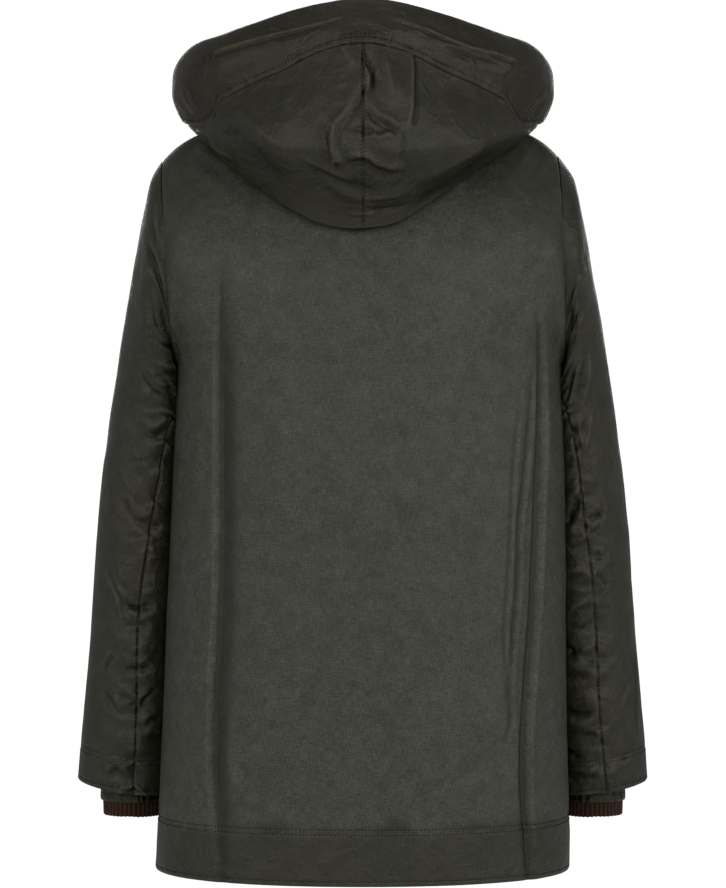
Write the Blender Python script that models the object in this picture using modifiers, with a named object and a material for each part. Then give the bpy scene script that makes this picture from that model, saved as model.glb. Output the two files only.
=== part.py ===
"""A waxed cotton jacket in its worn shape, with its hood folded back and its zip closed.

The garment faces -Y, its left side is +X and +Z is up. The origin lies half way between the
two side neck points, where a wearer's shoulders carry it. Each panel is a wall of cloth
between an outer skin and the same skin moved in, parted from its neighbours by a seam gap.

Run with: blender --background --python part.py
"""

import math
from collections import namedtuple
from functools import lru_cache, partial

import bmesh
import bpy
import numpy as np

# ---------------------------------------------------------------- driving dimensions (metres)
CLOTH = 0.0020  # thickness of the waxed cotton
KNIT = 0.0016  # thickness of the rib knit between its ribs
SEAM_GAP = 0.0003
HALF_GAP = SEAM_GAP / 2

LEFT, RIGHT = 1, -1  # sides of the wearer, as the sign of X
BACK, FRONT = 1, -1  # halves of the body, as the sign of Y

HEM_Z = -0.771
ARMPIT_Z = -0.260
ARMHOLE_HALF_DEPTH = 0.070
NECK_HALF_WIDTH = 0.075
NECK_DEPTH = {BACK: 0.065, FRONT: 0.090}
NECK_DROP = {BACK: 0.022, FRONT: 0.085}
SHOULDER_TIP = {LEFT: (0.2030, -0.0545), RIGHT: (0.1965, -0.0483)}  # x, z
ARMPIT_X = {LEFT: 0.1900, RIGHT: 0.2030}
SQUARENESS = {BACK: 2.2, FRONT: 2.1}  # power of the body's rounded section
CHEST_POWER = {BACK: 2.2, FRONT: 2.0}  # how the chest curves in towards neck and shoulder
SHOULDER_EDGE = 0.38  # share of a shoulder's fall that comes in a curve near its tip
SHOULDER_EDGE_POWER = 6
FANNING = 0.6  # how soon above the armpit the panels' columns turn towards the neckline
CENTRE_CURVE = 0.5  # power that keeps the chest flatter at the centre than at the sides
CENTRE_END, CENTRE_BLEND = 0.15, 0.60  # where that starts and over which share it fades
ARMHOLE_EDGE = 0.2  # share of the way round over which the armhole rounds the body
SIDE_WORD = {LEFT: "left", RIGHT: "right"}
FACE_WORD = {BACK: "back", FRONT: "front"}

# Sections of the body from the hem up: half widths to the left and right, depths of back and front.
BODY_COLUMNS = ("height", "left", "right", "back", "front")
BODY = (
    (-0.771, 0.2090, 0.2085, 0.155, 0.150),
    (-0.700, 0.2055, 0.2080, 0.153, 0.149),
    (-0.620, 0.2020, 0.2060, 0.150, 0.147),
    (-0.540, 0.1995, 0.2045, 0.147, 0.145),
    (-0.460, 0.1955, 0.2045, 0.144, 0.142),
    (-0.380, 0.1920, 0.2045, 0.141, 0.139),
    (-0.310, 0.1892, 0.2030, 0.137, 0.136),
    (-0.282, 0.1888, 0.2022, 0.135, 0.135),
    (-0.260, 0.1900, 0.2030, 0.134, 0.134),
)

# Sections of the sleeve from the armhole down: where its outer and inner edges lie, the middle
# and half of its front to back depth, and the turns from the outer edge to each back seam.
SLEEVE_COLUMNS = ("down", "outer_x", "outer_z", "inner_x", "inner_z", "middle", "half",
                  "left_seam", "right_seam")
SLEEVE = (
    (0.00, 0.2030, -0.0545, 0.1900, -0.2600, 0.000, 0.0700, 160, 160),
    (0.05, 0.2130, -0.0725, 0.1950, -0.2595, -0.001, 0.0710, 158, 157),
    (0.10, 0.2193, -0.1000, 0.1965, -0.2650, -0.004, 0.0725, 155, 152),
    (0.17, 0.2260, -0.1300, 0.1910, -0.2780, -0.012, 0.0740, 151, 144),
    (0.27, 0.2395, -0.2050, 0.1850, -0.3060, -0.025, 0.0725, 134, 126),
    (0.40, 0.2547, -0.2960, 0.1800, -0.3540, -0.034, 0.0690, 116, 101),
    (0.55, 0.2692, -0.4020, 0.1800, -0.4330, -0.040, 0.0650, 103, 91),
    (0.70, 0.2762, -0.5000, 0.1830, -0.5230, -0.046, 0.0610, 93, 84),
    (0.85, 0.2846, -0.5950, 0.1890, -0.6170, -0.051, 0.0575, 98, 87),
    (1.00, 0.2922, -0.6880, 0.1950, -0.7120, -0.056, 0.0545, 101, 85),
)
SLEEVE_CLEAR = 0.0022  # between a sleeve and the body that it lies along
SLEEVE_SOFT = 0.0030  # how softly the sleeve gives way there

# Lines that run round the hood, from the neck seam to the free edge, each as the angle from
# the centre back, the distance from the neck's middle and the height. A line that has no
# negative angle is the same on both sides.
HOOD_LINES = {
    "stand": (0.09, ((0, 0.0640, 0.004), (45, 0.0700, 0.012), (90, 0.0800, 0.022),
                     (135, 0.0850, -0.028), (178, 0.0930, -0.073))),
    "under": (0.20, ((0, 0.0960, -0.034), (30, 0.1020, -0.028), (60, 0.1130, -0.012),
                     (90, 0.1220, -0.003), (120, 0.1150, -0.014), (150, 0.1020, -0.048),
                     (178, 0.0960, -0.067))),
    "fold": (0.36, ((-178, 0.1000, -0.062), (-150, 0.1120, -0.046), (-120, 0.1360, -0.022),
                    (-90, 0.1600, -0.0195), (-65, 0.1640, -0.040), (-45, 0.1600, -0.066),
                    (-28, 0.1520, -0.098), (-14, 0.1430, -0.122), (0, 0.1400, -0.1295),
                    (14, 0.1440, -0.126), (28, 0.1520, -0.109), (45, 0.1600, -0.078),
                    (65, 0.1640, -0.044), (90, 0.1600, -0.0195), (120, 0.1360, -0.022),
                    (150, 0.1120, -0.046), (178, 0.1000, -0.062))),
    "belly": (0.50, ((0, 0.1790, -0.055), (25, 0.1780, -0.052), (45, 0.1770, -0.040),
                     (65, 0.1770, -0.026), (90, 0.1775, -0.0145), (120, 0.1480, -0.014),
                     (150, 0.1180, -0.040), (178, 0.1030, -0.056))),
    "seam": (0.64, ((0, 0.1560, 0.048), (15, 0.1550, 0.041), (30, 0.1590, 0.023),
                    (45, 0.1620, 0.0105), (60, 0.1690, -0.003), (72, 0.1760, -0.0110),
                    (90, 0.1875, -0.0045), (120, 0.1580, -0.004), (150, 0.1230, -0.033),
                    (178, 0.1060, -0.050))),
    "bulge": (0.76, ((0, 0.1490, 0.072), (30, 0.1560, 0.054), (60, 0.1770, 0.032),
                     (78, 0.1905, 0.020), (90, 0.1935, 0.016), (120, 0.1650, 0.010),
                     (150, 0.1290, -0.022), (178, 0.1090, -0.042))),
    "top": (0.88, ((0, 0.1330, 0.0945), (15, 0.1350, 0.0905), (30, 0.1420, 0.0825),
                   (45, 0.1490, 0.0735), (60, 0.1590, 0.0655), (75, 0.1745, 0.0590),
                   (90, 0.1870, 0.0440), (120, 0.1620, 0.0250), (150, 0.1310, -0.0080),
                   (178, 0.1110, -0.0320))),
    "edge": (1.00, ((0, 0.1000, 0.070), (30, 0.1080, 0.062), (60, 0.1280, 0.047),
                    (90, 0.1500, 0.030), (120, 0.1420, 0.011), (150, 0.1230, -0.013),
                    (178, 0.1060, -0.030))),
}
HOOD_OFF_BACK = 0.006  # between the lying hood and the back
HOOD_OFF_FOLD = 0.012  # and between its lower fold and the back
LYING_ANGLES = (50, 85)  # degrees from the centre back over which it lies, and stops lying
STAND, FOLD, BELLY, BRIM_SEAM = (HOOD_LINES[line][0] for line in ("stand", "fold", "belly", "seam"))

# Long folds that hang down the body: where each starts and ends, how far it stands out, how
# wide it spreads, and on which side of it a valley runs, in spreads.
LongFold = namedtuple("LongFold", "top_z top_x low_z low_x height spread valley")
LONG_FOLDS = {
    BACK: (
        LongFold(-0.110, 0.1465, -0.800, 0.1500, 0.0060, 0.0130, -1.6),
        LongFold(-0.150, -0.1790, -0.760, -0.1700, 0.0050, 0.0090, 1.8),
        LongFold(-0.280, -0.1720, -0.690, -0.1480, 0.0030, 0.0110, 1.6),
    ),
    FRONT: (
        LongFold(-0.170, 0.1280, -0.800, 0.1400, 0.0050, 0.0150, -1.7),
        LongFold(-0.200, -0.1250, -0.800, -0.1360, 0.0045, 0.0150, 1.7),
    ),
}
FOLD_FADE = 0.2  # share of a long fold's length over which it starts or ends
VALLEY_SHARE = 0.6  # depth of the valley beside a fold, as a share of the fold's height

# Drag folds across a sleeve: the turn and place down it, the height, the spreads round and
# along it, and how far the fold runs down the sleeve for each degree of turn.
DragFold = namedtuple("DragFold", "turn down height wide long lean")
SLEEVE_FOLDS = {
    LEFT: (
        DragFold(75, 0.20, 0.0040, 60, 0.045, -0.0012),
        DragFold(85, 0.33, 0.0035, 55, 0.040, -0.0014),
        DragFold(70, 0.52, 0.0025, 50, 0.035, 0.0008),
        DragFold(-80, 0.28, 0.0040, 60, 0.045, 0.0012),
        DragFold(-85, 0.47, 0.0030, 55, 0.040, 0.0010),
        DragFold(60, 0.76, 0.0025, 60, 0.035, 0.0008),
    ),
    RIGHT: (
        DragFold(80, 0.24, 0.0040, 60, 0.045, -0.0012),
        DragFold(85, 0.40, 0.0035, 55, 0.040, -0.0010),
        DragFold(75, 0.60, 0.0025, 50, 0.035, 0.0006),
        DragFold(-75, 0.22, 0.0040, 60, 0.045, 0.0012),
        DragFold(-85, 0.42, 0.0030, 55, 0.040, 0.0012),
        DragFold(60, 0.80, 0.0020, 60, 0.035, 0.0006),
    ),
}

# Folds in the hood: the angle and place along the cloth, the height, the spreads in degrees
# and along the cloth, and the lean in degrees for each unit along the cloth.
HoodFold = namedtuple("HoodFold", "angle along height wide long lean")
HOOD_FOLDS = (
    HoodFold(-15, 0.575, 0.0050, 5.5, 0.120, 20),
    HoodFold(9, 0.590, 0.0040, 5.0, 0.110, -40),
    HoodFold(24, 0.480, 0.0040, 16.0, 0.045, 0),
    HoodFold(-30, 0.470, 0.0035, 18.0, 0.045, 0),
    HoodFold(16, 0.800, 0.0030, 9.0, 0.060, 60),
    HoodFold(-34, 0.790, 0.0035, 12.0, 0.050, 0),
)

# Where the panels' grids have their columns, as shares of the way round from centre to side.
NECK_SHARE = 0.44  # the share that ends at the neckline, and the rest at the shoulder seam
SHOULDER_COLUMNS = (0.44, 0.50, 0.55, 0.59, 0.62, 0.65, 0.70, 0.77, 0.85, 0.93, 1.00)
BACK_COLUMNS = (0.00, 0.11, 0.21, 0.31, 0.38) + SHOULDER_COLUMNS
FRONT_COLUMNS = (0.00, 0.11, 0.22, 0.31, 0.375, 0.415) + SHOULDER_COLUMNS
LOWER_LEVELS = (-1.00, -0.90, -0.78, -0.65, -0.52, -0.39, -0.27, -0.16, -0.08, -0.03)
ARMHOLE_TURNS = (180, 167, 154, 141, 126.9, 112.8, 98.7, 84.6, 70.5, 56.4, 42.3, 28.2, 14.1, 0)
TOP_COLUMNS, UNDER_COLUMNS = 21, 9
SLEEVE_RINGS = (0, 0.05, 0.10, 0.155, 0.21, 0.27, 0.34, 0.41, 0.48, 0.55, 0.62, 0.70, 0.78,
                0.86, 0.93, 1)
HOOD_ROWS = (0, 0.035, 0.065, 0.09, 0.115, 0.15, 0.20, 0.26, 0.315, 0.36, 0.40, 0.445, 0.50,
             0.57, BRIM_SEAM)
BRIM_ROWS = (BRIM_SEAM, 0.69, 0.735, 0.78, 0.82, 0.85, 0.88, 0.91, 0.95, 1)

# The knit cuff, set inside the sleeve: its top lies on the sleeve's inner skin.
CUFF_RIBS = 42
CUFF_TOP = 0.86  # place down the sleeve
CUFF_SET_IN = 0.0008  # between the cuff's top and the sleeve's inner skin
CUFF_MIDDLE = (0.2375, -0.0560)  # x, y
CUFF_HALF = (0.0305, 0.0330)  # half width, half depth
CUFF_ROWS = ((-0.676, 1.03, 0.4), (-0.700, 1.00, 1.0), (-0.7225, 0.98, 1.0))  # z, size, ribs
RIB_HEIGHT = 0.0009

# The zip.
ZIP_SLOT = 0.0031  # half of the slot between the fronts
CHAIN_HALF_WIDTH = 0.0028
CHAIN_THICKNESS = 0.0026
CHAIN_PROUD = 0.0004
BOX_HEIGHT = 0.0085
BOX_PROUD = 0.0012
BOX_THICKNESS = 0.0042
SLIDER_LEVEL = 0.915
SLIDER_HALF_WIDTH, SLIDER_HALF_HEIGHT, SLIDER_PLATE = 0.0046, 0.0065, 0.0015
EAR_WIDTH, EAR_HALF_HEIGHT, EAR_WALL = 0.0012, 0.0015, 0.0006
BAR_RADIUS, BAR_OFF = 0.0008, 0.0049  # the pull's bar and its distance from the cloth
EYE_RADIUS, EYE_BORE, EYE_HALF_WIDTH = 0.0022, 0.0012, 0.0017
EYE_CLEARANCE = 0.0004  # between the eye and each ear
NECK_LENGTH = 0.0016  # of the pull between its eye and its flat
SUNK = 0.0005  # how far a joined shape reaches into the one that it joins
METAL_EDGE = 0.0005  # width of the bevel on metal edges
PULL_LENGTH, PULL_HALF_WIDTH, PULL_THICKNESS = 0.030, 0.0036, 0.0014
PULL_LEAN = math.radians(5)  # the pull's end rests towards the cloth
CHAIN_SEAT = CHAIN_PROUD + SEAM_GAP  # how far the slider's plate lies from the cloth

COLLECTION = "waxed_cotton_jacket"
STEP = 1e-4  # share of a range that the steps for a skin's normals take


# ---------------------------------------------------------------- curves and small sums
def through(places, values, at):
    """A smooth curve through the values at the places, read where asked."""
    places, values = np.asarray(places, float), np.asarray(values, float)
    slopes = np.gradient(values, places, axis=0)
    at = np.clip(np.asarray(at, float), places[0], places[-1])
    i = np.clip(np.searchsorted(places, at, side="right") - 1, 0, len(places) - 2)
    shape = at.shape + (1,) * (values.ndim - 1)
    step = (places[i + 1] - places[i]).reshape(shape)
    f = (at - places[i]).reshape(shape) / step
    return (
        values[i] * (1 + 2 * f) * (1 - f) ** 2
        + slopes[i] * step * f * (1 - f) ** 2
        + values[i + 1] * f**2 * (3 - 2 * f)
        + slopes[i + 1] * step * f**2 * (f - 1)
    )


def from_table(table, columns, name, at):
    """A column of a table as a smooth curve of the table's first column."""
    places, values = [row[0] for row in table], [row[columns.index(name)] for row in table]
    order = np.argsort(places)
    return through(np.array(places)[order], np.array(values, float)[order], at)


def ease(share):
    """From 0 to 1, starting and ending gently."""
    share = np.clip(share, 0, 1)
    return share * share * (3 - 2 * share)


def mix(first, second, share):
    return first + (second - first) * share


def unit(vectors):
    return vectors / np.linalg.norm(vectors, axis=-1, keepdims=True)


def points(x, y, z):
    """Points with the three coordinates in their last axis."""
    return np.stack(np.broadcast_arrays(*(np.asarray(c, float) for c in (x, y, z))), axis=-1)


def skin_normals(skin, along, down, facing):
    """Unit normals of skin(along, down), found by small steps kept inside both ranges."""
    (along, along_low, along_high), (down, down_low, down_high) = along, down
    step = STEP * (along_high - along_low)
    across_it = skin(np.minimum(along + step, along_high), down)
    across_it = across_it - skin(np.maximum(along - step, along_low), down)
    step = STEP * (down_high - down_low)
    down_it = skin(along, min(down + step, down_high))
    down_it = down_it - skin(along, max(down - step, down_low))
    return unit(np.cross(across_it, down_it)) * facing


# ---------------------------------------------------------------- the body
def quarter_section(width, depth, power, start, across):
    """A quarter of the body's rounded section, from centre to side.

    Gives, for shares of its length, the share of the way from start to width, and of depth.
    """
    first = math.asin((start / width) ** (power / 2))
    turn = np.linspace(first, math.pi / 2, 400)
    x = width * np.sin(turn) ** (2 / power)
    y = depth * np.abs(np.cos(turn)) ** (2 / power)
    length = np.concatenate([[0], np.cumsum(np.hypot(np.diff(x), np.diff(y)))])
    x = np.interp(across, length / length[-1], x)
    return (x - start) / (width - start), np.maximum(0, 1 - (x / width) ** power) ** (1 / power)


def body_section(side, face, height):
    """Half width and depth of the body at a height."""
    return (
        float(from_table(BODY, BODY_COLUMNS, SIDE_WORD[side], height)),
        float(from_table(BODY, BODY_COLUMNS, FACE_WORD[face], height)),
    )


def slot_half(face):
    return ZIP_SLOT if face == FRONT else 0.0


def top_edge(side, face, across):
    """The neckline, and from NECK_SHARE on the shoulder seam, for the left side."""
    tip_x, tip_z = SHOULDER_TIP[side]
    neck = np.clip(across / NECK_SHARE, 0, 1)
    slot = math.asin(slot_half(face) / NECK_HALF_WIDTH)
    turn = mix(slot, math.pi / 2, neck)
    out = np.clip((across - NECK_SHARE) / (1 - NECK_SHARE), 0, 1)
    on_neck = across < NECK_SHARE
    x = np.where(on_neck, NECK_HALF_WIDTH * np.sin(turn), mix(NECK_HALF_WIDTH, tip_x, out))
    y = np.where(on_neck, NECK_DEPTH[face] * np.cos(turn), 0)
    slope = tip_z * mix(out, out**SHOULDER_EDGE_POWER, SHOULDER_EDGE)
    return x, y, np.where(on_neck, -NECK_DROP[face] * np.cos(turn) ** 2, slope)


def long_folds(face, x, z, half_width):
    """How far the long folds move the body's skin out."""
    out = np.zeros(np.shape(x))
    for fold in LONG_FOLDS[face]:
        down = (fold.top_z - z) / (fold.top_z - fold.low_z)
        shown = ease(down / FOLD_FADE)
        if fold.low_z > HEM_Z:
            shown = shown * ease((1 - down) / FOLD_FADE)
        off = (x - mix(fold.top_x, fold.low_x, down)) / fold.spread
        ridge, valley = np.exp(-(off**2)), np.exp(-((off - fold.valley) ** 2))
        out += fold.height * shown * (ridge - VALLEY_SHARE * valley)
    return out * (1 - np.clip(np.abs(x) / half_width, 0, 1) ** 14)  # none at the side seam


def smooth_body(side, face, across, level):
    """The body's skin without folds. Levels run from -1 at the hem over 0 at the armpit to 1."""
    height = ARMPIT_Z + min(level, 0) * (ARMPIT_Z - HEM_Z)
    start = slot_half(face)
    width, depth = body_section(side, face, height)
    share, bow = quarter_section(width, depth, SQUARENESS[face], start, across)
    if level <= 0:
        return points(side * mix(start, width, share), face * depth * bow, height)
    top_x, top_y, top_z = top_edge(side, face, across)
    tip_x = SHOULDER_TIP[side][0]
    share = mix(share, (top_x - start) / (tip_x - start), 1 - (1 - level**2) ** FANNING)
    x = mix(start, mix(width, tip_x, level), share)
    rounding = mix(1.0, CENTRE_CURVE, ease((across - CENTRE_END) / CENTRE_BLEND))
    leaning = (1 - level ** CHEST_POWER[face]) ** rounding
    round_hole = 2 * math.sqrt(level * (1 - level))
    opening = mix(round_hole**3, round_hole, ease((across - 1 + ARMHOLE_EDGE) / ARMHOLE_EDGE))
    y = top_y + (depth * bow - top_y) * leaning + ARMHOLE_HALF_DEPTH * opening * (1 - bow)
    return points(side * x, face * y, mix(ARMPIT_Z, top_z, level))


def body_half(side, face, across, level):
    """One row of the body's skin and its normals, from the centre to the side."""
    across = np.asarray(across, float)
    skin = partial(smooth_body, side, face)
    row = skin(across, level)
    normal = skin_normals(skin, (across, 0, 1), (level, -1, 1), -side * face)
    width, _ = body_section(side, face, ARMPIT_Z + min(level, 0) * (ARMPIT_Z - HEM_Z))
    below_shoulder = 1 - ease((level - 0.55) / 0.35)
    fold = long_folds(face, row[:, 0], row[:, 2], width) * below_shoulder
    row += normal * fold[:, None]
    return row, normal


def armhole_up(side):
    """The armhole's own up direction, from armpit to shoulder tip."""
    tip_x, tip_z = SHOULDER_TIP[side]
    up = np.array([side * (tip_x - ARMPIT_X[side]), 0, tip_z - ARMPIT_Z])
    return unit(up), float(np.linalg.norm(up)) / 2


def armhole_normal(side, turn):
    """The cloth's outward direction round the armhole, in the plane of its seam."""
    up, half_height = armhole_up(side)
    turn = np.radians(np.asarray(turn, float))[..., None]
    across = np.array([0, 1, 0]) * np.sin(turn) / ARMHOLE_HALF_DEPTH
    return unit(across + up * np.cos(turn) / half_height)


def body_levels():
    turns = np.radians(ARMHOLE_TURNS)
    return np.concatenate([LOWER_LEVELS, (1 + np.cos(turns)) / 2])


def side_seam_normals(side, heights):
    """The shared normals of back and front along a side seam."""
    drop = 0.004
    above, below = (from_table(BODY, BODY_COLUMNS, SIDE_WORD[side], heights + d)
                    for d in (drop, -drop))
    return unit(points(side, 0, (below - above) / (2 * drop)))


def shoulder_normal(side):
    """The shared normal of both panels along a shoulder seam."""
    tip_x, tip_z = SHOULDER_TIP[side]
    return unit(np.array([-side * tip_z / (tip_x - NECK_HALF_WIDTH), 0, 1]))


def neck_angles(face, columns):
    """Angles from the centre back of the columns that end at the neckline."""
    share = np.array([share for share in columns if share <= NECK_SHARE]) / NECK_SHARE
    if face == BACK:
        return 90 * share
    slot = math.degrees(math.asin(ZIP_SLOT / NECK_HALF_WIDTH))
    return 180 - mix(slot, 90, share)


def neck_normals(side, face, columns, skin):
    """Normals shared by body and hood at the neckline, half way between the two."""
    angles = side * neck_angles(face, columns)
    count = len(angles)
    along = np.gradient(skin[-1, :count], axis=0)
    body = unit(np.cross(along, skin[-1, :count] - skin[-2, :count])) * -side * face
    body[0, 0] = 0
    body[-1] = shoulder_normal(side)
    hood = skin_normals(hood_skin, (angles, -180, 180), (0, 0, 1), -1)
    return unit(body + hood)


def seam_way(edge, normals, inside):
    """Unit directions in the cloth, square to its edge and towards the points inside it."""
    way = unit(np.cross(np.gradient(edge, axis=0), normals))
    return way * np.sign(np.sum(way * (inside - edge), axis=1))[:, None]


def body_panel_half(side, face, columns):
    """Grids of points and normals for a half of the body, edges parted from their neighbours."""
    rows = [body_half(side, face, columns, level) for level in body_levels()]
    skin, normals = (np.array([row[i] for row in rows]) for i in (0, 1))
    pit, neck = len(LOWER_LEVELS), len(neck_angles(face, columns))
    side_normals = side_seam_normals(side, skin[: pit + 1, -1, 2])
    normals[-1, neck:] = shoulder_normal(side)
    normals[-1, :neck] = neck_normals(side, face, columns, skin)
    normals[: pit + 1, -1] = side_normals
    normals[pit:, -1] = armhole_normal(side, np.array(ARMHOLE_TURNS) * face)
    parted = skin.copy()
    for edge, inside, edge_normals in (
        (np.s_[: pit + 1, -1], np.s_[: pit + 1, -2], side_normals),
        (np.s_[pit:, -1], np.s_[pit:, -2], normals[pit:, -1]),
        (np.s_[-1, :neck], np.s_[-2, :neck], normals[-1, :neck]),
        (np.s_[-1, neck - 1 :], np.s_[-2, neck - 1 :], normals[-1, neck - 1 :]),
    ):
        parted[edge] += HALF_GAP * seam_way(skin[edge], edge_normals, skin[inside])
    return parted, normals, skin


def build_back(material):
    left = body_panel_half(LEFT, BACK, BACK_COLUMNS)
    right = body_panel_half(RIGHT, BACK, BACK_COLUMNS)
    outer, normals = (
        np.concatenate([right[i][:, :0:-1], left[i]], axis=1) for i in (0, 1)
    )
    return cloth_wall("back", outer, normals, material)


def build_front(side, material):
    outer, normals, _ = body_panel_half(side, FRONT, FRONT_COLUMNS)
    return cloth_wall(f"front_{SIDE_WORD[side]}", outer, normals, material)


# ---------------------------------------------------------------- the sleeves
def body_side_x(side, y, z):
    """How far the body reaches to the side: its section's side, and the armhole's plane above."""
    section = np.zeros(np.shape(y))
    wide = from_table(BODY, BODY_COLUMNS, SIDE_WORD[side], z)
    for face in (BACK, FRONT):
        deep = from_table(BODY, BODY_COLUMNS, FACE_WORD[face], z)
        off = np.clip(np.abs(y) / deep, 0, 1) ** SQUARENESS[face]
        section = np.where(y * face >= 0, wide * (1 - off) ** (1 / SQUARENESS[face]), section)
    tip_x, tip_z = SHOULDER_TIP[side]
    plane = mix(ARMPIT_X[side], tip_x, np.maximum(0, (z - ARMPIT_Z) / (tip_z - ARMPIT_Z)))
    return mix(section, plane, ease((z - ARMPIT_Z + 0.015) / 0.02))


def drag_folds(side, turn, down):
    """How far the drag folds move the sleeve's skin out."""
    out = np.zeros(np.shape(turn))
    for fold in SLEEVE_FOLDS[side]:
        off = (turn - fold.turn + 180) % 360 - 180
        across = (down - fold.down - fold.lean * off) / fold.long
        fade = np.exp(-((off / fold.wide) ** 2) - across**2)
        out += fold.height * fade * np.cos(2.2 * across)  # a ridge with a valley on each side
    return out


def sleeve_skin(side, turn, down):
    """Points of the sleeve at turns in degrees, 0 on its outer edge and 90 at the back."""
    column = {name: from_table(SLEEVE, SLEEVE_COLUMNS, name, down) for name in SLEEVE_COLUMNS[1:7]}
    tip_x, tip_z = SHOULDER_TIP[side]
    near_tip = 1 - ease(down / 0.05)
    near_pit = 1 - ease(down / 0.55)
    outer_x = column["outer_x"] + (tip_x - SLEEVE[0][1]) * near_tip
    outer_z = column["outer_z"] + (tip_z - SLEEVE[0][2]) * near_tip
    inner_x = column["inner_x"] + (ARMPIT_X[side] - SLEEVE[0][3]) * near_pit
    angle = np.radians(turn)
    up = np.cos(angle)
    swell = drag_folds(side, turn, down) * ease(down / 0.08) * ease((1 - down) / 0.05)
    x = mix(inner_x, outer_x, (1 + up) / 2) + swell * up
    y = column["middle"] + (column["half"] + swell) * np.sin(angle)
    z = mix(column["inner_z"], outer_z, (1 + up) / 2)
    clear = body_side_x(side, y, z) + SLEEVE_CLEAR
    pushed = (x + clear + np.sqrt((x - clear) ** 2 + SLEEVE_SOFT**2)) / 2
    return points(side * mix(x, pushed, ease(down / 0.05)), y, z)


def sleeve_grid(side, turns_of):
    """Points and normals of a sleeve piece whose turns at each place down are given."""
    skin = partial(sleeve_skin, side)
    outer, normals = [], []
    for down in SLEEVE_RINGS:
        turn = turns_of(side, down)
        outer.append(skin(turn, down))
        normals.append(skin_normals(skin, (turn, -360, 720), (down, 0, 1), -side))
    normals[0] = armhole_normal(side, turns_of(side, 0))
    return np.array(outer), np.array(normals)


def seam_turn(side, down):
    return float(from_table(SLEEVE, SLEEVE_COLUMNS, f"{SIDE_WORD[side]}_seam", down))


def top_turns(side, down):
    return np.linspace(-1, 1, TOP_COLUMNS) * seam_turn(side, down)


def under_turns(side, down):
    return np.linspace(seam_turn(side, down), 360 - seam_turn(side, down), UNDER_COLUMNS)


def build_sleeve(side, material):
    made = []
    for name, turns_of in (("top", top_turns), ("under", under_turns)):
        skin, normals = sleeve_grid(side, turns_of)
        parted = skin.copy()
        for edge, inside in ((np.s_[:, 0], np.s_[:, 1]), (np.s_[:, -1], np.s_[:, -2]),
                             (np.s_[0], np.s_[1])):
            parted[edge] += HALF_GAP * seam_way(skin[edge], normals[edge], skin[inside])
        made.append(cloth_wall(f"sleeve_{SIDE_WORD[side]}_{name}", parted, normals, material))
    return made


# ---------------------------------------------------------------- the knit cuffs
def sleeve_lining_ring(side, down, count):
    """Points on the sleeve's inner skin, on the chords between the sleeve's own columns."""
    turns = np.concatenate([top_turns(side, down)[:-1], under_turns(side, down)])
    skin = partial(sleeve_skin, side)
    normal = skin_normals(skin, (turns, -360, 720), (down, 0, 1), -side)
    ring = skin(turns, down) - normal * (CLOTH + CUFF_SET_IN)
    at = np.linspace(turns[0], turns[-1], count, endpoint=False)
    return np.stack([np.interp(at, turns, ring[:, k]) for k in range(3)], axis=1), at


def build_cuff(side, material):
    count = CUFF_RIBS * 2
    lowest, turns = sleeve_lining_ring(side, CUFF_TOP, count)
    angle = np.radians(turns)
    rib = np.arange(count) % 2
    outward = unit(points(side * np.cos(angle) / CUFF_HALF[0], np.sin(angle) / CUFF_HALF[1], 0))
    core, height = [lowest], [np.zeros(count)]
    for z, size, ribs in CUFF_ROWS:
        x = side * (CUFF_MIDDLE[0] + CUFF_HALF[0] * size * np.cos(angle))
        y = CUFF_MIDDLE[1] + CUFF_HALF[1] * size * np.sin(angle)
        core.append(points(x, y, z))
        height.append(rib * RIB_HEIGHT * ribs)
    core, height = np.array(core), np.array(height)
    normals = np.broadcast_to(outward, core.shape)
    inner = core - normals * KNIT
    outer = core + normals * height[..., None]
    return wall_between(f"cuff_{SIDE_WORD[side]}", outer, inner, material, closed_round=True)


# ---------------------------------------------------------------- the hood
def hood_line(name, angles):
    """Points of one of the lines that run round the hood."""
    rows = HOOD_LINES[name][1]
    if rows[0][0] == 0:
        rows = [(-a, r, z) for a, r, z in rows[:0:-1]] + list(rows)
    at, radius, height = (np.array([row[k] for row in rows], float) for k in range(3))
    radius, height = through(at, radius, angles), through(at, height, angles)
    angles = np.radians(angles)
    return points(radius * np.sin(angles), radius * np.cos(angles), height)


def neck_line(angles):
    """The neckline at angles from the centre back."""
    turn = np.radians(angles)
    behind = np.cos(turn) >= 0
    depth = np.where(behind, NECK_DEPTH[BACK], NECK_DEPTH[FRONT])
    drop = np.where(behind, NECK_DROP[BACK], NECK_DROP[FRONT])
    return points(NECK_HALF_WIDTH * np.sin(turn), depth * np.cos(turn), -drop * np.cos(turn) ** 2)


def hood_folds(angles, along):
    """How far the folds move the hood's skin out."""
    out = np.zeros(np.shape(angles))
    for fold in HOOD_FOLDS:
        off = along - fold.along
        across = (angles - fold.angle - fold.lean * off) / fold.wide
        out += fold.height * np.exp(-(across**2) - (off / fold.long) ** 2)
    return out * ease(along / 0.3)


@lru_cache
def back_map():
    """A map of the back's smooth skin: its y over a grid of x and z."""
    across, levels = np.linspace(0, 1, 61), np.linspace(-0.2, 1, 73)
    x_grid, z_grid = np.linspace(-0.195, 0.195, 79), np.linspace(-0.25, 0.0, 76)
    rows = {side: [smooth_body(side, BACK, across, level) for level in levels]
            for side in (LEFT, RIGHT)}
    y_grid = []
    for x in x_grid:
        cuts = [(np.interp(abs(x), np.abs(row[:, 0]), row[:, 1]),
                 np.interp(abs(x), np.abs(row[:, 0]), row[:, 2]))
                for row in rows[LEFT if x >= 0 else RIGHT]]
        y, z = np.array(cuts).T
        y_grid.append(np.interp(z_grid, z, y))
    return x_grid, z_grid, np.array(y_grid)


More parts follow.
